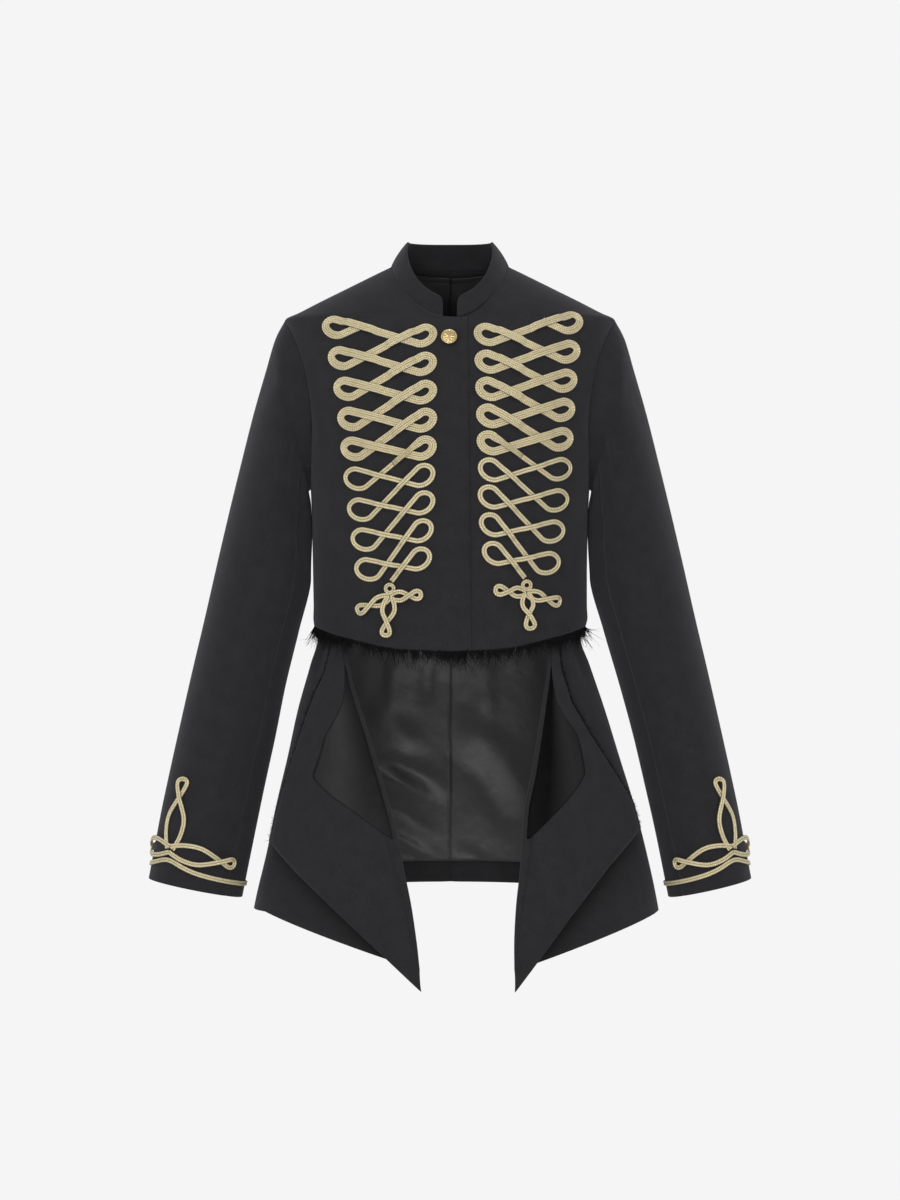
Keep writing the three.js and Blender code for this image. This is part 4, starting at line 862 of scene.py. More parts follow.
def neckline(turn):
    """The neckline: turn 0 is the middle of the front, a half turn the middle of the back."""
    front_z = NECK_FRONT_Z * np.maximum(np.cos(turn), 0) ** (2 / NECK_CURVE)
    x = np.sign(np.sin(turn)) * neck_half(front_z)
    front = body_surface(angle_at(x, front_z), front_z)
    back = body_surface(turn, np.zeros_like(turn))
    return np.where((np.cos(turn) <= 0)[..., None], back, front)


def add_collar():
    end = math.asin(COLLAR_END / NECK_HALF)
    whole = 2 * math.pi - 2 * end
    near = np.linspace(0, 0.05, 24)
    share = np.concatenate([near, np.linspace(0.055, 0.945, 150), np.linspace(0.95, 1, 24)])
    turn = end + whole * share
    base = neckline(turn)
    frontness = np.maximum(np.cos(turn), 0)
    height = lerp(COLLAR_HEIGHT, COLLAR_FRONT_HEIGHT, frontness)
    from_end = np.minimum(share, 1 - share) * whole * NECK_HALF
    inset = np.maximum(COLLAR_CORNER - from_end, 0)
    drop = COLLAR_CORNER - np.sqrt(np.maximum(COLLAR_CORNER ** 2 - inset ** 2, 0))
    inward = unit(np.stack([-base[:, 0], -base[:, 1], np.zeros_like(share)], axis=1))
    lean = lerp(COLLAR_LEAN, COLLAR_LEAN_FRONT, frontness)
    rows = []
    for rise in np.linspace(1, 0, 15):
        along = lean * (0.4 * rise * rise + 0.6 * rise)
        point = base + inward * along[:, None]
        point[:, 2] += COLLAR_LIFT + (height - drop) * rise
        rows.append(point)
    points = np.array(rows)
    outward = np.repeat(-inward[None], len(rows), axis=0)
    obj = shell("collar_cloth", points, outward, COLLAR_CLOTH, wool)
    cloth_piece(obj, "wool", (0.400, 0.032), None, ["back_cloth_right", "back_cloth_left"], "collar")


# Sleeves. Creases are placed by the share of a turn from the underarm and the share down the sleeve.
SLEEVE_CREASES = {
    "right": (
        (0.00, 0.10, 0.00, 0.42, 0.00, 0.060, 0.0018),
        (0.05, 0.34, 0.30, 0.40, 0.02, 0.034, -0.0020),
        (0.98, 0.40, 0.72, 0.46, -0.02, 0.036, -0.0020),
        (0.08, 0.46, 0.34, 0.52, 0.03, 0.026, -0.0018),
        (0.18, 0.06, 0.16, 0.30, 0.01, 0.022, -0.0026),
        (0.80, 0.07, 0.78, 0.32, 0.01, 0.024, -0.0026),
        (0.20, 0.62, 0.26, 0.90, 0.01, 0.030, 0.0016),
        (0.34, 0.10, 0.44, 0.22, 0.01, 0.028, -0.0012),
        (0.60, 0.08, 0.56, 0.26, 0.01, 0.028, -0.0013),
    ),
    "left": (
        (0.00, 0.10, 0.00, 0.42, 0.00, 0.060, 0.0019),
        (0.04, 0.33, 0.28, 0.38, 0.02, 0.034, -0.0020),
        (0.97, 0.41, 0.73, 0.48, -0.02, 0.036, -0.0020),
        (0.07, 0.44, 0.33, 0.50, 0.03, 0.026, -0.0020),
        (0.17, 0.05, 0.18, 0.31, 0.01, 0.022, -0.0027),
        (0.81, 0.06, 0.79, 0.30, 0.01, 0.024, -0.0025),
        (0.19, 0.60, 0.23, 0.92, 0.01, 0.030, 0.0018),
        (0.33, 0.12, 0.42, 0.24, 0.01, 0.028, -0.0012),
        (0.61, 0.09, 0.57, 0.25, 0.01, 0.028, -0.0013),
    ),
}
SLEEVE_PARTS = (("upper", FOREARM_SEAM, ELBOW_SEAM, 78), ("under", ELBOW_SEAM, 1 + FOREARM_SEAM, 40))
SEAM_DENT = 0.0005
SEAM_DENT_SHARE = 0.012
SLEEVE_FLATS = {"upper": ((0.300, 0.665), 0.150), "under": ((0.125, 0.530), 0.052)}
sleeve_table = {name: np.array(values) for name, values in zip(SLEEVE_COLUMNS, zip(*SLEEVE_ROWS))}
rise_table = {name: reading(sleeve_table["out_z"] - sleeve_table["out_z"][-1], values)
              for name, values in sleeve_table.items()}


def ring_point(row, name, turn):
    """A point on a sleeve's ring: turn 0 is the underarm, a quarter turn the front."""
    side = SIDES[name]
    middle_x = (row["out_x"] + row[name]) / 2
    middle_z = (row["out_z"] + row["in_z"]) / 2
    x = middle_x + (row[name] - middle_x) * np.cos(turn)
    z = middle_z + (row["in_z"] - middle_z) * np.cos(turn)
    y = row["shift"] - row["depth"] * np.sin(turn)
    x, y, z = np.broadcast_arrays(side * x, y, z)
    return np.stack([x, y, z], axis=-1)


def sleeve_surface(name, turns):
    """Points and normals of a sleeve over an array of turns, from the armhole down to the cuff."""
    side = SIDES[name]
    columns = {key: values[:, None] for key, values in sleeve_table.items()}
    rings = ring_point(columns, name, turns[None, :])
    z, angle = armhole_place(turns)
    first = body_surface(angle * side, z)
    first = first + unit(rings[0] - first) * SEAM
    rings = np.concatenate([first[None], rings])
    key = np.arange(len(rings))
    at = np.linspace(0, len(rings) - 1, SLEEVE_LINES)
    down = np.zeros((SLEEVE_LINES, len(turns), 3))
    for column in range(len(turns)):
        for axis in range(3):
            down[:, column, axis] = reading(key, rings[:, column, axis])(at)
    around = np.gradient(down, axis=1)
    along = np.gradient(down, axis=0)
    normals = unit(np.cross(around, along) * -side)
    start = armhole_normal(turns, side)
    ease = 1 - smoothstep(at, 0, 0.8)
    normals = unit(lerp(normals, start[None], ease[:, None, None]))
    return down, normals, at / (len(rings) - 1)


def add_sleeves():
    for name in SIDES:
        for part, first, last, columns in SLEEVE_PARTS:
            share = np.linspace(first, last, columns)
            points, normals, down = sleeve_surface(name, share * 2 * math.pi)
            around = np.broadcast_to(share, points.shape[:2])
            below = np.broadcast_to(down[:, None], points.shape[:2])
            depth = sum(crease_depth(around + shift, below, SLEEVE_CREASES[name]) for shift in (-1, 0, 1))
            depth = depth * smoothstep(below, 0, 0.06)
            seam = np.minimum(np.abs(around - first), np.abs(around - last)) / SEAM_DENT_SHARE
            points = points + normals * (depth - SEAM_DENT * np.exp(-seam ** 2))[..., None]
            points[:, 0] += unit(points[:, 1] - points[:, 0]) * SEAM / 2
            points[:, -1] += unit(points[:, -2] - points[:, -1]) * SEAM / 2
            obj = shell(f"sleeve_{part}_cloth_{name}", points, normals, WOOL, wool)
            flat, area = SLEEVE_FLATS[part]
            cloth_piece(obj, "wool", flat, area, [f"front_cloth_{name}"], f"sleeve_{part}_{name}")


def cuff_point(name, turn, rise, height):
    """A point above the sleeve: turn round it, and rise above the edge of the cuff."""
    row = {key: read(rise) for key, read in rise_table.items()}
    side = SIDES[name]
    point = ring_point(row, name, turn)
    ahead = ring_point(row, name, turn + CUFF_TURN) - ring_point(row, name, turn - CUFF_TURN)
    down = np.array([side * CUFF_SLOPE[0], 0, CUFF_SLOPE[1]])
    normal = unit(np.cross(ahead, down) * -side)
    return point + normal * np.asarray(height)[..., None]


# Tails.
TAIL_CORNERED = ("free_x", "free_z", "lining")


def tail_row(name, t):
    """Columns of a tail at an array of shares down it: the fold runs smoothly, the edges have corners."""
    smooth = table(TAIL_COLUMNS, TAIL_ROWS[name])
    straight = dict(zip(TAIL_COLUMNS, zip(*TAIL_ROWS[name])))
    row = {}
    for column in TAIL_COLUMNS[1:]:
        if column in TAIL_CORNERED:
            row[column] = np.interp(t, straight["t"], straight[column])
        else:
            row[column] = smooth[column](t)
    ahead = np.minimum(t + TAIL_SPAN, 1)
    behind = np.maximum(t - TAIL_SPAN, 0)
    along_x = smooth["fold_x"](ahead) - smooth["fold_x"](behind)
    along_z = smooth["fold_z"](ahead) - smooth["fold_z"](behind)
    length = np.hypot(along_x, along_z)
    row["out_x"] = along_z / length
    row["out_z"] = -along_x / length
    row["tip"] = smoothstep(t, TAIL_TIP, 1)
    row["side"] = SIDES[name]
    return {key: value if key == "side" else value[:, None] for key, value in row.items()}


def hip_point(side, x, z, height):
    x, z, height = np.broadcast_arrays(x, z, height)
    return body_point(angle_at(side * x, z), z, height)


def under_point(row, share, height):
    """Under layer of a tail, share 0 at the side seam and 1 at the fold."""
    side_x = half_width(row["side_z"], row["side"])
    end = np.abs(angle_at(row["side"] * row["fold_x"], row["fold_z"]))
    angle = lerp(math.pi / 2, end, share)
    x = body_surface(angle, np.broadcast_to(row["side_z"], angle.shape))[..., 0]
    z = lerp(row["side_z"], row["fold_z"], (side_x - x) / (side_x - row["fold_x"]))
    z = np.clip(z, row["fold_z"], row["side_z"])
    lift = height - row["sink"] * smoothstep(share, 0, TAIL_SINK_SHARE) + 0 * angle
    return body_point(row["side"] * angle, z, lift)


def fold_point(row, turn, height):
    """Round the fold, turn 0 on the under layer and a half turn on the turned one."""
    radius = row["loft"] / 2
    reach = (radius - height) * np.sin(turn)
    rise = radius - (radius - height) * np.cos(turn)
    x = row["fold_x"] + row["out_x"] * reach
    z = row["fold_z"] + row["out_z"] * reach
    return hip_point(row["side"], x, z, rise - row["sink"])


def turned_point(row, share, height):
    """Turned layer of a tail, share 0 at the fold and 1 at the free edge."""
    edge = row["tip"] * (row["loft"] + WOOL) / 2 * (1 - share) ** 2
    x = lerp(row["fold_x"], row["free_x"], share) + row["out_x"] * edge
    z = lerp(row["fold_z"], row["free_z"], share) + row["out_z"] * edge
    away = share * np.hypot(row["free_x"] - row["fold_x"], row["free_z"] - row["fold_z"])
    rolled = (1 - np.exp(-away / TAIL_ROLL_REACH)) * (1 - smoothstep(share, TAIL_ROLL_FADE, 1))
    roll = np.maximum(row["loft"] - TAIL_ROLL_FROM, 0) * TAIL_ROLL_RISE * rolled
    return hip_point(row["side"], x, z, row["loft"] + roll + height - row["sink"])


TAIL_STEPS = 100
KITE_ENDS = (0.1, 0.6)
KITE_TIP = 0.008
# Painted shade: how dark each lining kite is and how much darker towards its fold; then the painted shadow
# beside the fold.
KITE_SHADE = {"right": 0.35, "left": 0.62}
KITE_FADE = 0.5
KITE_REACH = 0.5
FOLD_SHADE = 0.85
FOLD_REACH = 0.016
UNDERLINING_ENDS = (0.1, 0.9)
UNDER_SHARES = (0.004, 0.93)
TAIL_FLATS = {
    "panel": ((0.330, 0.420), 0.094),
    "facing": ((0.130, 0.420), 0.026),
    "lining": ((0.080, 0.200), 0.007),
    "underlining": ((0.155, 0.320), 0.039),
}


def two_skins(name, outer, inner, material, shade=None):
    """A shell from its two skins: their middle, its normals and the distance between them."""
    gap = outer - inner
    thickness = float(np.linalg.norm(gap, axis=2).mean())
    middle = (outer + inner) / 2
    return shell(name, middle + unit(gap) * thickness / 2, unit(gap), thickness, material, shade)


def fold_shadow(name, points):
    """Painted shadow on the under layer beside the lower edge of the turned one, from its corner to the tip.
    """
    ends = tail_row(name, np.array([TAIL_CORNER, 1]))
    along_x, along_z = (float(np.diff(ends[key], axis=0)[0, 0]) for key in ("free_x", "free_z"))
    x = np.abs(points[..., 0]) - ends["free_x"][0]
    z = points[..., 2] - ends["free_z"][0]
    away = np.abs(x * along_z - z * along_x) / math.hypot(along_x, along_z)
    return FOLD_SHADE * np.exp(-away / FOLD_REACH)


def add_tail(name):
    rows = tail_row(name, np.linspace(0, 1, TAIL_STEPS))
    half = WOOL / 2
    under = np.linspace(*UNDER_SHARES, 30)[None]
    turns = np.radians(np.linspace(0, 180, 13))[None]
    border = np.maximum(rows["lining"], TAIL_BARE)
    near = border * np.linspace(0, 1, 10)[None, 1:]
    far = lerp(border, 1, np.linspace(0, 1, 22)[None, 1:])
    turned = np.concatenate([near, far], axis=1)
    skins = []
    for face in (-1, 1):
        skins.append(np.concatenate([
            under_point(rows, under, face * half),
            fold_point(rows, turns, face * half),
            turned_point(rows, turned, -face * half),
        ], axis=1))
    # Painted shadow on the under layer, beside the lower edge of the turned layer.
    painted_dim = np.zeros(skins[0].shape[:2])
    painted_dim[:, :under.shape[1]] = fold_shadow(name, skins[0][:, :under.shape[1]])
    panel = two_skins(f"tail_cloth_{name}", skins[0], skins[1], wool, painted_dim)
    cloth_piece(panel, "wool", *TAIL_FLATS["panel"], [f"back_cloth_{name}"], f"tail_{name}")
    base = half + LAYER_GAP
    facing_share = lerp(border + TAIL_GAP, 1, np.linspace(0, 1, 24)[None])
    facing = two_skins(f"tail_facing_cloth_{name}", turned_point(rows, facing_share, base + FACING),
                       turned_point(rows, facing_share, base), wool)
    cloth_piece(facing, "wool", *TAIL_FLATS["facing"], [f"tail_cloth_{name}"], f"tail_facing_{name}")
    kite = tail_row(name, np.linspace(*KITE_ENDS, 60))
    reach = np.maximum(kite["lining"] - TAIL_GAP, KITE_TIP)
    share = reach * np.linspace(0, 1, 24)[None]
    # Painted shade on the lining kite: darker towards the fold, and darker on the left tail than the right.
    shade = np.clip(KITE_SHADE[name] + KITE_FADE * (1 - smoothstep(share, 0, KITE_REACH)), 0, 1)
    lining = two_skins(f"tail_lining_cloth_{name}", turned_point(kite, share, base + SATIN),
                       turned_point(kite, share, base), satin, shade)
    cloth_piece(lining, "satin", *TAIL_FLATS["lining"], [f"tail_cloth_{name}"], f"tail_lining_{name}")
    inside = tail_row(name, np.linspace(*UNDERLINING_ENDS, 80))
    base = -half - LAYER_GAP
    behind = two_skins(f"tail_underlining_cloth_{name}", under_point(inside, under, base),
                       under_point(inside, under, base - SATIN), satin)
    cloth_piece(behind, "satin", *TAIL_FLATS["underlining"], [f"tail_cloth_{name}"],
                f"tail_underlining_{name}")


# Braid. A path is a list of places a, b on a surface with a lift; ribs run along it.
def even_path(path):
    """The same path in equal steps."""
    path = np.array(path, float)
    lengths = np.concatenate([[0], np.cumsum(np.hypot(*np.diff(path[:, :2], axis=0).T))])
    count = max(int(lengths[-1] / BRAID_STEP), 4)
    at = np.linspace(0, lengths[-1], count + 1)
    return np.stack([np.interp(at, lengths, column) for column in path.T], axis=1)


def rounded(points):
    """A smooth curve through a few points, by the Catmull-Rom rule."""
    points = np.array(points, float)
    whole = np.concatenate([2 * points[:1] - points[1:2], points, 2 * points[-1:] - points[-2:-1]])
    curve = []
    for k in range(len(points) - 1):
        p0, p1, p2, p3 = whole[k:k + 4]
        for s in np.arange(CURVE_STEPS) / CURVE_STEPS:
            curve.append(0.5 * (2 * p1 + (p2 - p0) * s + (2 * p0 - 5 * p1 + 4 * p2 - p3) * s ** 2
                                + (3 * p1 - p0 - 3 * p2 + p3) * s ** 3))
    curve.append(points[-1])
    return np.array(curve)


def rib_profile(ribs):
    """Section of a flat braid, from one edge to the other: height as a share, with a groove between ribs."""
    across = np.concatenate([[-0.5], np.linspace(-RIB_EDGE, RIB_EDGE, 6 * ribs + 1), [0.5]])
    wave = np.abs(np.sin((across + 0.5) * math.pi * ribs)) ** RIB_FULLNESS
    height = lerp(RIB_FLOOR, 1, wave)
    height[0] = 0
    height[-1] = 0
    return across, height


def braid_on(place, path, width, ribs, closed=False):
    """Vertices, faces and weave places of a ribbed braid laid on a surface."""
    path = np.asarray(path)
    a, b, lift = path.T[:3]
    widths = width * (path[:, 3] if path.shape[1] > 3 else np.ones(len(path)))
    base = BRAID_BASE + lift
    spots = place(a, b, base)
    normals = unit(place(a, b, base + SURFACE_STEP) - spots)
    if closed:
        along = np.roll(spots, -1, axis=0) - np.roll(spots, 1, axis=0)
    else:
        along = np.gradient(spots, axis=0)
    sideways = unit(np.cross(along, normals))
    across, up = rib_profile(ribs)
    far = np.cumsum(np.linalg.norm(np.diff(spots, axis=0, prepend=spots[:1]), axis=1))
    ring = (spots[:, None] + sideways[:, None] * (across[None] * widths[:, None])[..., None]
            + normals[:, None] * (up * BRAID_HEIGHT)[None, :, None])
    count = len(across)
    vertices = ring.reshape(-1, 3)
    rib_place = (across + 0.5) * ribs
    rib_place = (rib_place - np.floor(np.minimum(rib_place, ribs - 1e-6)) - 0.5) * RIB_PLACE
    uvs = np.stack([np.repeat(far, count), np.tile(rib_place, len(spots))], axis=1)
    faces = []
    spans = len(spots) if closed else len(spots) - 1
    for k in range(spans):
        n = (k + 1) % len(spots)
        for side in range(count):
            beside = (side + 1) % count
            faces.append((k * count + side, k * count + beside, n * count + beside, n * count + side))
    if not closed:
        faces.append(tuple(range(count - 1, -1, -1)))
        faces.append(tuple((len(spots) - 1) * count + side for side in range(count)))
    return vertices, faces, uvs


def add_braid(name, node, parts):
    """One piece of soutache from its parts, each with vertices, faces and weave places."""
    vertices = []
    faces = []
    uvs = []
    start = 0
    for part_vertices, part_faces, part_uvs in parts:
        vertices.append(part_vertices)
        uvs.append(part_uvs)
        faces += [tuple(v + start for v in face) for face in part_faces]
        start += len(part_vertices)
    obj = add_mesh(name, np.concatenate(vertices), faces, gold, np.concatenate(uvs))
    face_out(obj)
    trim_piece(obj, "braid", node)


def tangent_between(start, end):
    """The line that leaves the top of one loop and reaches the bottom of the next."""
    way = np.array([end[0] - start[0], end[1] - start[1]])
    distance = math.hypot(*way)
    way = way / distance
    upright = np.array([-way[1], way[0]])
    if upright[1] < 0:
        upright = -upright
    share = (start[2] + end[2]) / distance
    normal = way * share + upright * math.sqrt(1 - share * share)
    return {
        "start": np.array(start[:2]) + start[2] * normal,
        "end": np.array(end[:2]) - end[2] * normal,
        "angle": math.atan2(normal[1], normal[0]),
    }


def line_crossing(first, second):
    """Distance along the first line to where the second crosses it, and the angle between them."""
    way = first["end"] - first["start"]
    other = second["end"] - second["start"]
    cross = way[0] * other[1] - way[1] * other[0]
    gap = second["start"] - first["start"]
    share = (gap[0] * other[1] - gap[1] * other[0]) / cross
    length = math.hypot(*way)
    return share * length, math.asin(abs(cross) / (length * math.hypot(*other)))


def lift_at(distance, crossing, width):
    flat = width / 2 / math.tan(crossing[1] / 2) + 0.001
    away = np.abs(distance - crossing[0]) - flat
    return CROSSING_LIFT * (1 - smoothstep(away, 0, CROSSING_RAMP))


def arrival(loop):
    """A strand reaches a loop from a little further in, which gives the loop its belly."""
    x, z, radius, turn = loop
    return x - turn * BELLY, z, radius


def frog_path(frogs, side, first, last, width, end):
    """The serpentine of a column: each strand leaves a loop over the strand that entered it."""
    loops = []
    for outer_x, outer_z, inner_x, inner_z in frogs[first:last]:
        loops.append((outer_x - side * LOOP_OUTER, outer_z, LOOP_OUTER - width / 2, side))
        loops.append((inner_x + side * LOOP_INNER, inner_z, LOOP_INNER - width / 2, -side))
    before_x, before_z = (frogs[first - 1][2:] if first else (frogs[0][2], frogs[0][3] + FROG_PITCH))
    before_width = DOUBLE_WIDTH if first else width
    before = (before_x + side * LOOP_INNER, before_z, LOOP_INNER - before_width / 2)
    lines = [tangent_between(before, arrival(loops[0]))]
    lines += [tangent_between(loops[k], arrival(loops[k + 1])) for k in range(len(loops) - 1)]
    lines.append(tangent_between(loops[-1], end["to"]))
    path = []
    for k, line in enumerate(lines):
        length = math.hypot(*(line["end"] - line["start"]))
        begin = 0.0
        stop = length
        tapered = 1.0
        if k == 0:
            begin = length / 2 + SEAM if first else length - TIE_LENGTH
        if k == len(lines) - 1:
            stop = end["stop"](length)
            tapered = end["tapered"]
        for distance in np.append(np.arange(begin, stop, BRAID_STEP), stop):
            spot = lerp(line["start"], line["end"], distance / length)
            lift = lift_at(distance, line_crossing(line, lines[k - 1]), width) if k else 0
            path.append((spot[0], spot[1], lift, lerp(1, tapered, smoothstep(distance, 0, TAPER))))
        if k < len(loops):
            x, z, radius, turn = loops[k]
            out = lines[k + 1]
            start = line["angle"] + math.pi
            sweep = out["angle"] - start
            while sweep * turn < 0:
                sweep += turn * 2 * math.pi
            while sweep * turn > 2 * math.pi:
                sweep -= turn * 2 * math.pi
            crossing = line_crossing(out, line)
            for share in np.linspace(0, 1, max(int(abs(sweep) * radius / BRAID_STEP), 4)):
                angle = start + sweep * share
                left = -abs(sweep) * radius * (1 - share)
                shift = turn * BELLY * (1 - smoothstep(share, 0, BELLY_END))
                lift = lift_at(left, crossing, width)
                path.append((x - shift + radius * math.cos(angle), z + radius * math.sin(angle), lift, 1.0))
    return even_path(path)


def leaf_path(middle, leaf):
    """A leaf that ends in an eyelet, crossing itself at its neck."""
    degrees, neck, reach, half = leaf
    lift = CROSSING_LIFT
    local = np.array([
        (0, 0.35 * half, 0), (0.3 * neck, 0.88 * half, 0), (0.62 * neck, 0.92 * half, 0), (neck, 0, 0),
        (reach - 0.3 * EYELET, -0.95 * EYELET, 0), (reach + 0.75 * EYELET, -0.6 * EYELET, 0),
        (reach + 0.75 * EYELET, 0.6 * EYELET, 0), (reach - 0.3 * EYELET, 0.95 * EYELET, 0.9 * lift),
        (neck, 0, lift), (0.62 * neck, -0.92 * half, 0.4 * lift), (0.3 * neck, -0.88 * half, 0),
        (0, -0.35 * half, 0),
    ])
    angle = math.radians(degrees)
    a = middle[0] + local[:, 0] * math.cos(angle) - local[:, 1] * math.sin(angle)
    b = middle[1] + local[:, 0] * math.sin(angle) + local[:, 1] * math.cos(angle)
    path = rounded(np.stack([a, b, local[:, 2]], axis=1))
    return even_path(path)


def circle_path(x, z, radius, lift):
    turns = np.linspace(0, 2 * math.pi, RING_POINTS + 1)[:-1]
    lifts = np.full(RING_POINTS, lift)
    return np.stack([x + radius * np.cos(turns), z + radius * np.sin(turns), lifts], axis=1)


def add_frogs(name):
    side = SIDES[name]
    frogs = FROGS[name]
    knot = KNOTS[name]
    following = frogs[DOUBLE_FROGS]
    join_end = {
        "to": arrival((following[0] - side * LOOP_OUTER, following[1], LOOP_OUTER - SINGLE_WIDTH / 2, side)),
        "stop": lambda length: length / 2 - SEAM,
        "tapered": SINGLE_WIDTH / DOUBLE_WIDTH,
    }
    upper = frog_path(frogs, side, 0, DOUBLE_FROGS, DOUBLE_WIDTH, join_end)
    parts = [braid_on(front_point, upper, DOUBLE_WIDTH, 4)]
    add_braid(f"soutache_double_{name}", f"braid_double_{name}", parts)
    stem = {"to": (knot["stem_x"], knot["stem_z"], 0), "stop": lambda length: length - SEAM, "tapered": 1}
    lower = frog_path(frogs, side, DOUBLE_FROGS, len(frogs), SINGLE_WIDTH, stem)
    parts = [braid_on(front_point, lower, SINGLE_WIDTH, 2)]
    add_braid(f"soutache_single_{name}", f"braid_single_{name}", parts)
    middle = (knot["x"], knot["z"])
    parts = []
    for k, leaf in enumerate(knot["leaves"]):
        path = leaf_path(middle, leaf)
        path[:, 2] += LEAF_LIFT + LEAF_STEP * k
        parts.append(braid_on(front_point, path, KNOT_WIDTH, 2))
    ring = circle_path(knot["x"], knot["z"] + knot["ring_rise"], knot["ring"], RING_LIFT)
    parts.append(braid_on(front_point, ring, RING_WIDTH, 2, closed=True))
    add_braid(f"soutache_knot_{name}", f"braid_knot_{name}", parts)


def add_cuff_braid(name):
    def place(a, b, height):
        turn = np.radians(CUFF_MIDDLE_ANGLE - np.asarray(a) / CUFF_DEGREE)
        return cuff_point(name, turn, b, height)

    parts = []
    for k, leaf in enumerate(CUFF_LEAVES):
        path = leaf_path((0, CUFF_MIDDLE_RISE), leaf)
        path[:, 2] += LEAF_LIFT + CUFF_LEAF_STEP * k
        parts.append(braid_on(place, path, KNOT_WIDTH, 2))
    add_braid(f"soutache_cuff_{name}", f"cuff_knot_{name}", parts)
    a = (np.arange(BAND_POINTS) / BAND_POINTS - 0.5) * 360 * CUFF_DEGREE
    b = CUFF_BAND_RISE + CUFF_BAND_PEAK / (1 + (a / CUFF_BAND_SPREAD) ** 2)
    path = np.stack([a, b, np.zeros(BAND_POINTS)], axis=1)
    parts = [braid_on(place, path, KNOT_WIDTH, 2, closed=True)]
    add_braid(f"soutache_band_{name}", f"cuff_band_{name}", parts)


# Button. Its rim and back are rings: a share of the radius, and a height above the top of the shank.
BUTTON_X = -0.0011
BUTTON_Z = -0.0875
BUTTON_RADIUS = 0.009
BUTTON_SHANK = 0.0026
BUTTON_DOME = 0.0026
BUTTON_FALL = 0.0009
BUTTON_FACE = 0.76
BUTTON_FACE_RINGS = 25
BUTTON_SIDES = 96
BUTTON_LOBES = 8
BUTTON_LOBE_RISE = 0.00035
BUTTON_RIM = (
    (0.79, 0.0011), (0.82, 0.0017), (0.86, 0.0022), (0.90, 0.00235), (0.94, 0.0023),
    (0.97, 0.0020), (1.0, 0.0015), (1.0, 0.0008), (0.97, 0.0003), (0.93, 0),
    (0.3, -0.0002), (0.27, -0.0026),
)


def add_button():
    """A domed button with a raised rim and a plain ring of lobes."""
    angles = np.linspace(0, 2 * math.pi, BUTTON_SIDES, endpoint=False)
    face = np.linspace(0, BUTTON_FACE, BUTTON_FACE_RINGS + 1)[1:, None]
    share = face / BUTTON_FACE
    lobes = BUTTON_LOBE_RISE * np.cos(BUTTON_LOBES * angles) * np.sin(share * math.pi) ** 2
    dome = BUTTON_DOME - BUTTON_FALL * share ** 2 + lobes
    rim = np.array(BUTTON_RIM)
    radii = np.concatenate([face, rim[:, :1]]) * BUTTON_RADIUS
    heights = np.concatenate([dome, np.repeat(rim[:, 1:], BUTTON_SIDES, axis=1)]) + BUTTON_SHANK
    base = front_point(np.array(BUTTON_X), np.array(BUTTON_Z), LAYER_GAP)
    out = unit(front_point(np.array(BUTTON_X), np.array(BUTTON_Z), LAYER_GAP + SURFACE_STEP) - base)
    across = unit(np.cross(out, np.array([0, 0, 1.0])))
    up = np.cross(across, out)
    circle = across * np.cos(angles)[:, None] + up * np.sin(angles)[:, None]
    vertices = base + circle * radii[..., None] + out * heights[..., None]
    faces = []
    for k in range(len(radii) - 1):
        for j in range(BUTTON_SIDES):
            a = k * BUTTON_SIDES + j
            b = k * BUTTON_SIDES + (j + 1) % BUTTON_SIDES
            faces.append((a, b, b + BUTTON_SIDES, a + BUTTON_SIDES))
    last = (len(radii) - 1) * BUTTON_SIDES
    faces.append(tuple(range(BUTTON_SIDES - 1, -1, -1)))
    faces.append(tuple(range(last, last + BUTTON_SIDES)))
    obj = add_mesh("button_gilt", vertices.reshape(-1, 3), faces, brass)
    face_out(obj)
    trim_piece(obj, "brass", "button")


# Fray: curved threads of three sides, thinner towards their tips.
THREAD_RADIUS = 0.00034
THREAD_TAPER = 0.75
THREAD_RINGS = 5
THREAD_SIDES = 3
THREAD_ASKEW = (0.31, 0.87, 0.38)
THREAD_SPLAY = 0.32
THREAD_LIFT = (0.02, 0.16)
THREAD_CURL = 0.35
THREAD_RADII = (0.6, 1.3)


def hair(root, direction, side, length, curl, radius):
    """Vertices and faces of one loose thread."""
    share = np.linspace(0, 1, THREAD_RINGS)[:, None]
    line = root + direction * length * share + side * curl * share ** 2
    along = unit(direction)
    first = unit(np.cross(along, np.array(THREAD_ASKEW)))
    second = np.cross(along, first)
    turns = np.arange(THREAD_SIDES) * 2 * math.pi / THREAD_SIDES
    circle = first[None] * np.cos(turns)[:, None] + second[None] * np.sin(turns)[:, None]
    rings = line[:, None] + circle[None] * (radius * (1 - THREAD_TAPER * share))[:, None]
    vertices = rings.reshape(-1, 3)
    faces = []
    for k in range(THREAD_RINGS - 1):
        for j in range(THREAD_SIDES):
            a = k * THREAD_SIDES + j
            b = k * THREAD_SIDES + (j + 1) % THREAD_SIDES
            faces.append((a, b, b + THREAD_SIDES, a + THREAD_SIDES))
    last = THREAD_SIDES * (THREAD_RINGS - 1)
    faces.append(tuple(range(THREAD_SIDES - 1, -1, -1)))
    faces.append(tuple(range(last, last + THREAD_SIDES)))
    return vertices, faces


def add_fray(name, node, roots, downs, outs, lengths, rng):
    vertices = []
    faces = []
    start = 0
    for root, down, out, length in zip(roots, downs, outs, lengths):
        side = unit(np.cross(down, out))
        way = unit(down + side * rng.normal(0, THREAD_SPLAY) + out * rng.normal(*THREAD_LIFT))
        curl = length * rng.normal(0, THREAD_CURL)
        lean = unit(side * rng.normal(0, 1) + out * rng.normal(0, 0.6) + down * 0.01)
        radius = THREAD_RADIUS * rng.uniform(*THREAD_RADII)
        hair_vertices, hair_faces = hair(root, way, lean, length, curl, radius)
        vertices.append(hair_vertices)
        faces += [tuple(v + start for v in face) for face in hair_faces]
        start += len(hair_vertices)
    obj = add_mesh(name, np.concatenate(vertices), faces, thread)
    trim_piece(obj, "wool", node)


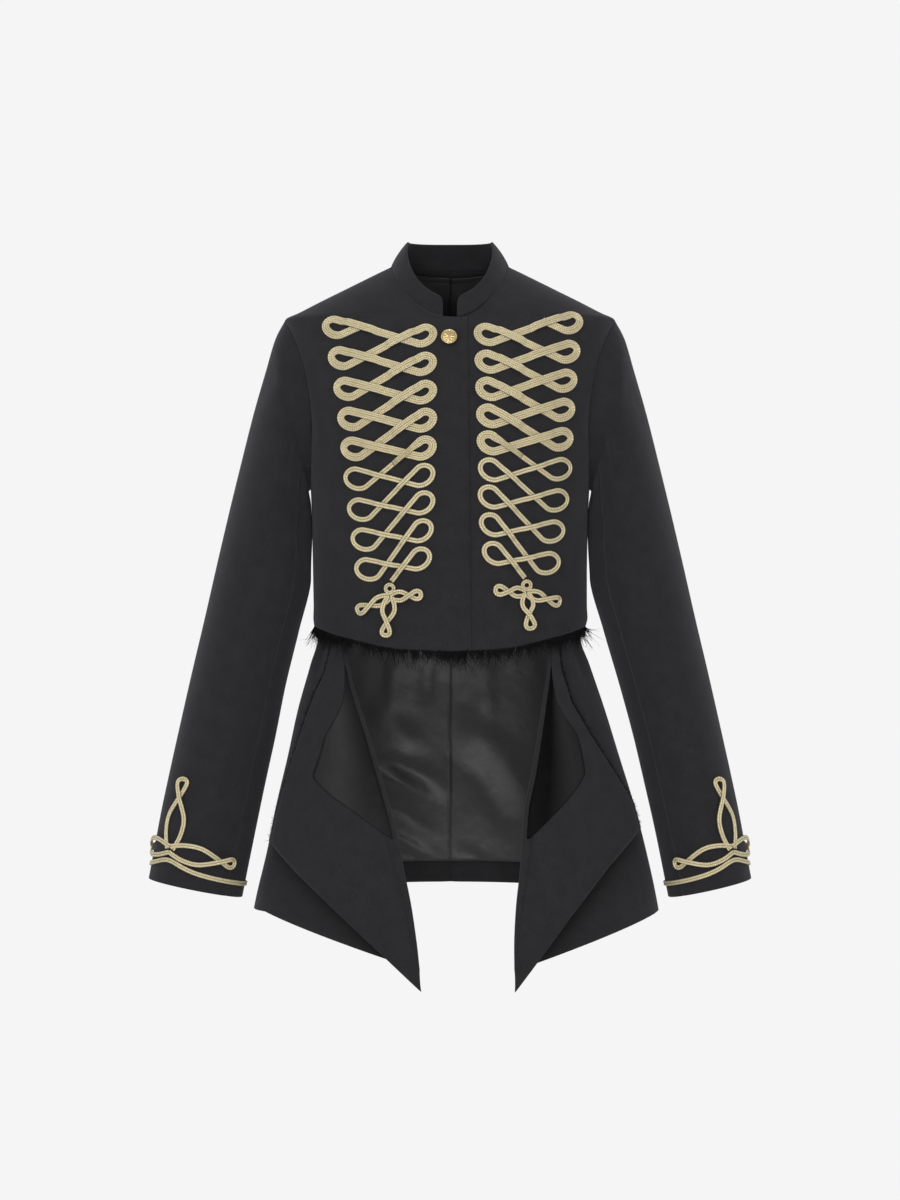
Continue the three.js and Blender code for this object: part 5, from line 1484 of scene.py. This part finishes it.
FRONT_HAIRS = 2600
FRONT_TUFTS = 64
TAIL_HAIRS = 2400
TAIL_FUZZ = 0.022
FRAY_ROOT = 0.0008
FRONT_THREAD = 0.0024
FRONT_THREAD_SPAN = (0.002, 0.024)
TAIL_THREAD = 0.0013
TAIL_THREAD_SPAN = (0.0012, 0.007)


def add_front_fray(name, rng):
    side = SIDES[name]
    start_x = OVERLAP_UNDER if side > 0 else OVERLAP_HEM
    first = float(angle_at(np.array(start_x), FRONT_HEM_CENTRE))
    share = np.sort(rng.uniform(0.005, 0.99, FRONT_HAIRS))
    angle = lerp(first, side * math.pi / 2, share)
    z = front_hem_z(np.abs(np.sin(angle)) ** (2 / ROUNDNESS))
    x = body_surface(angle, z)[:, 0]
    depth = rng.uniform(-WOOL, 0, FRONT_HAIRS)
    roots = body_point(angle, z + FRAY_ROOT, front_rise(x, z, side) + depth)
    outs = body_normal(angle, z)
    downs = np.repeat([[0, 0, -1.0]], FRONT_HAIRS, axis=0)
    tuft = (share * FRONT_TUFTS).astype(int)
    clump = rng.uniform(0.2, 1.9, FRONT_TUFTS)[tuft]
    downs[:, 0] = rng.normal(0, 0.45, FRONT_TUFTS)[tuft]
    downs = unit(downs)
    centre = 1 - smoothstep(share, 0.1, 0.45)
    lengths = rng.gamma(2.0, FRONT_THREAD, FRONT_HAIRS) * (0.5 + 0.6 * centre + clump)
    lengths = np.clip(lengths, *FRONT_THREAD_SPAN)
    add_fray(f"fray_threads_front_{name}", f"fray_front_{name}", roots, downs, outs, lengths, rng)


def add_tail_fray(name, rng):
    t = rng.uniform(0.03, TAIL_CORNER - 0.005, TAIL_HAIRS)
    row = tail_row(name, t)
    height = rng.uniform(0.0006, 0.0022, TAIL_HAIRS)[:, None]
    share = 1 - TAIL_FUZZ * rng.uniform(0, 1, TAIL_HAIRS)[:, None] ** 2
    near = turned_point(row, share - 0.01, height)[:, 0]
    roots = turned_point(row, share, height)[:, 0]
    downs = unit(roots - near)
    outs = unit(turned_point(row, share, height + SURFACE_STEP)[:, 0] - roots)
    lengths = np.clip(rng.gamma(2.0, TAIL_THREAD, TAIL_HAIRS), *TAIL_THREAD_SPAN)
    add_fray(f"fray_threads_tail_{name}", f"fray_tail_{name}", roots, downs, outs, lengths, rng)


# Floor and light.
FLOOR_Z = -1.35
FLOOR_HALF = 9.0
LIGHTS = (
    ("key", (-1.9, -3.0, 1.5), 2.4, 37),
    ("fill", (2.4, -2.6, 0.5), 2.6, 16),
    ("front", (0, -4.2, -0.9), 1.2, 62),
    ("rim_left", (-2.6, 1.6, 1.2), 2.0, 12),
    ("rim_right", (2.6, 1.6, 1.2), 2.0, 10),
)


def add_stage():
    corners = [(-FLOOR_HALF, -FLOOR_HALF), (FLOOR_HALF, -FLOOR_HALF), (FLOOR_HALF, FLOOR_HALF),
               (-FLOOR_HALF, FLOOR_HALF)]
    floor = add_mesh("floor", [(x, y, FLOOR_Z) for x, y in corners], [(0, 1, 2, 3)], floor_material())
    world = bpy.data.worlds.new("studio")
    bpy.context.scene.world = world
    world.use_nodes = True
    tree = world.node_tree
    ray = tree.nodes.new("ShaderNodeLightPath")
    level = tree.nodes.new("ShaderNodeMapRange")
    level.inputs["To Min"].default_value = STUDIO_FILL
    level.inputs["To Max"].default_value = SKY
    tree.links.new(ray.outputs["Is Camera Ray"], level.inputs["Value"])
    tree.links.new(level.outputs["Result"], tree.nodes["Background"].inputs["Strength"])
    tree.nodes["Background"].inputs["Color"].default_value = (1, 1, 1, 1)
    for name, place, size, power in LIGHTS:
        data = bpy.data.lights.new(name, "AREA")
        data.size = size
        data.energy = power
        light = bpy.data.objects.new(name, data)
        bpy.context.scene.collection.objects.link(light)
        light.location = place
        aim = unit(np.array([0, 0, CAMERA_HEIGHT]) - np.array(place))
        light.rotation_euler = (math.acos(-aim[2]), 0, math.atan2(aim[1], aim[0]) - math.pi / 2)


bpy.context.scene.view_settings.view_transform = "Standard"
add_collar()
add_fronts()
add_backs()
add_lining()
add_sleeves()
generator = np.random.default_rng(7)
for jacket_side in SIDES:
    add_tail(jacket_side)
    add_frogs(jacket_side)
    add_cuff_braid(jacket_side)
    add_front_fray(jacket_side, generator)
    add_tail_fray(jacket_side, generator)
add_button()
add_stage()
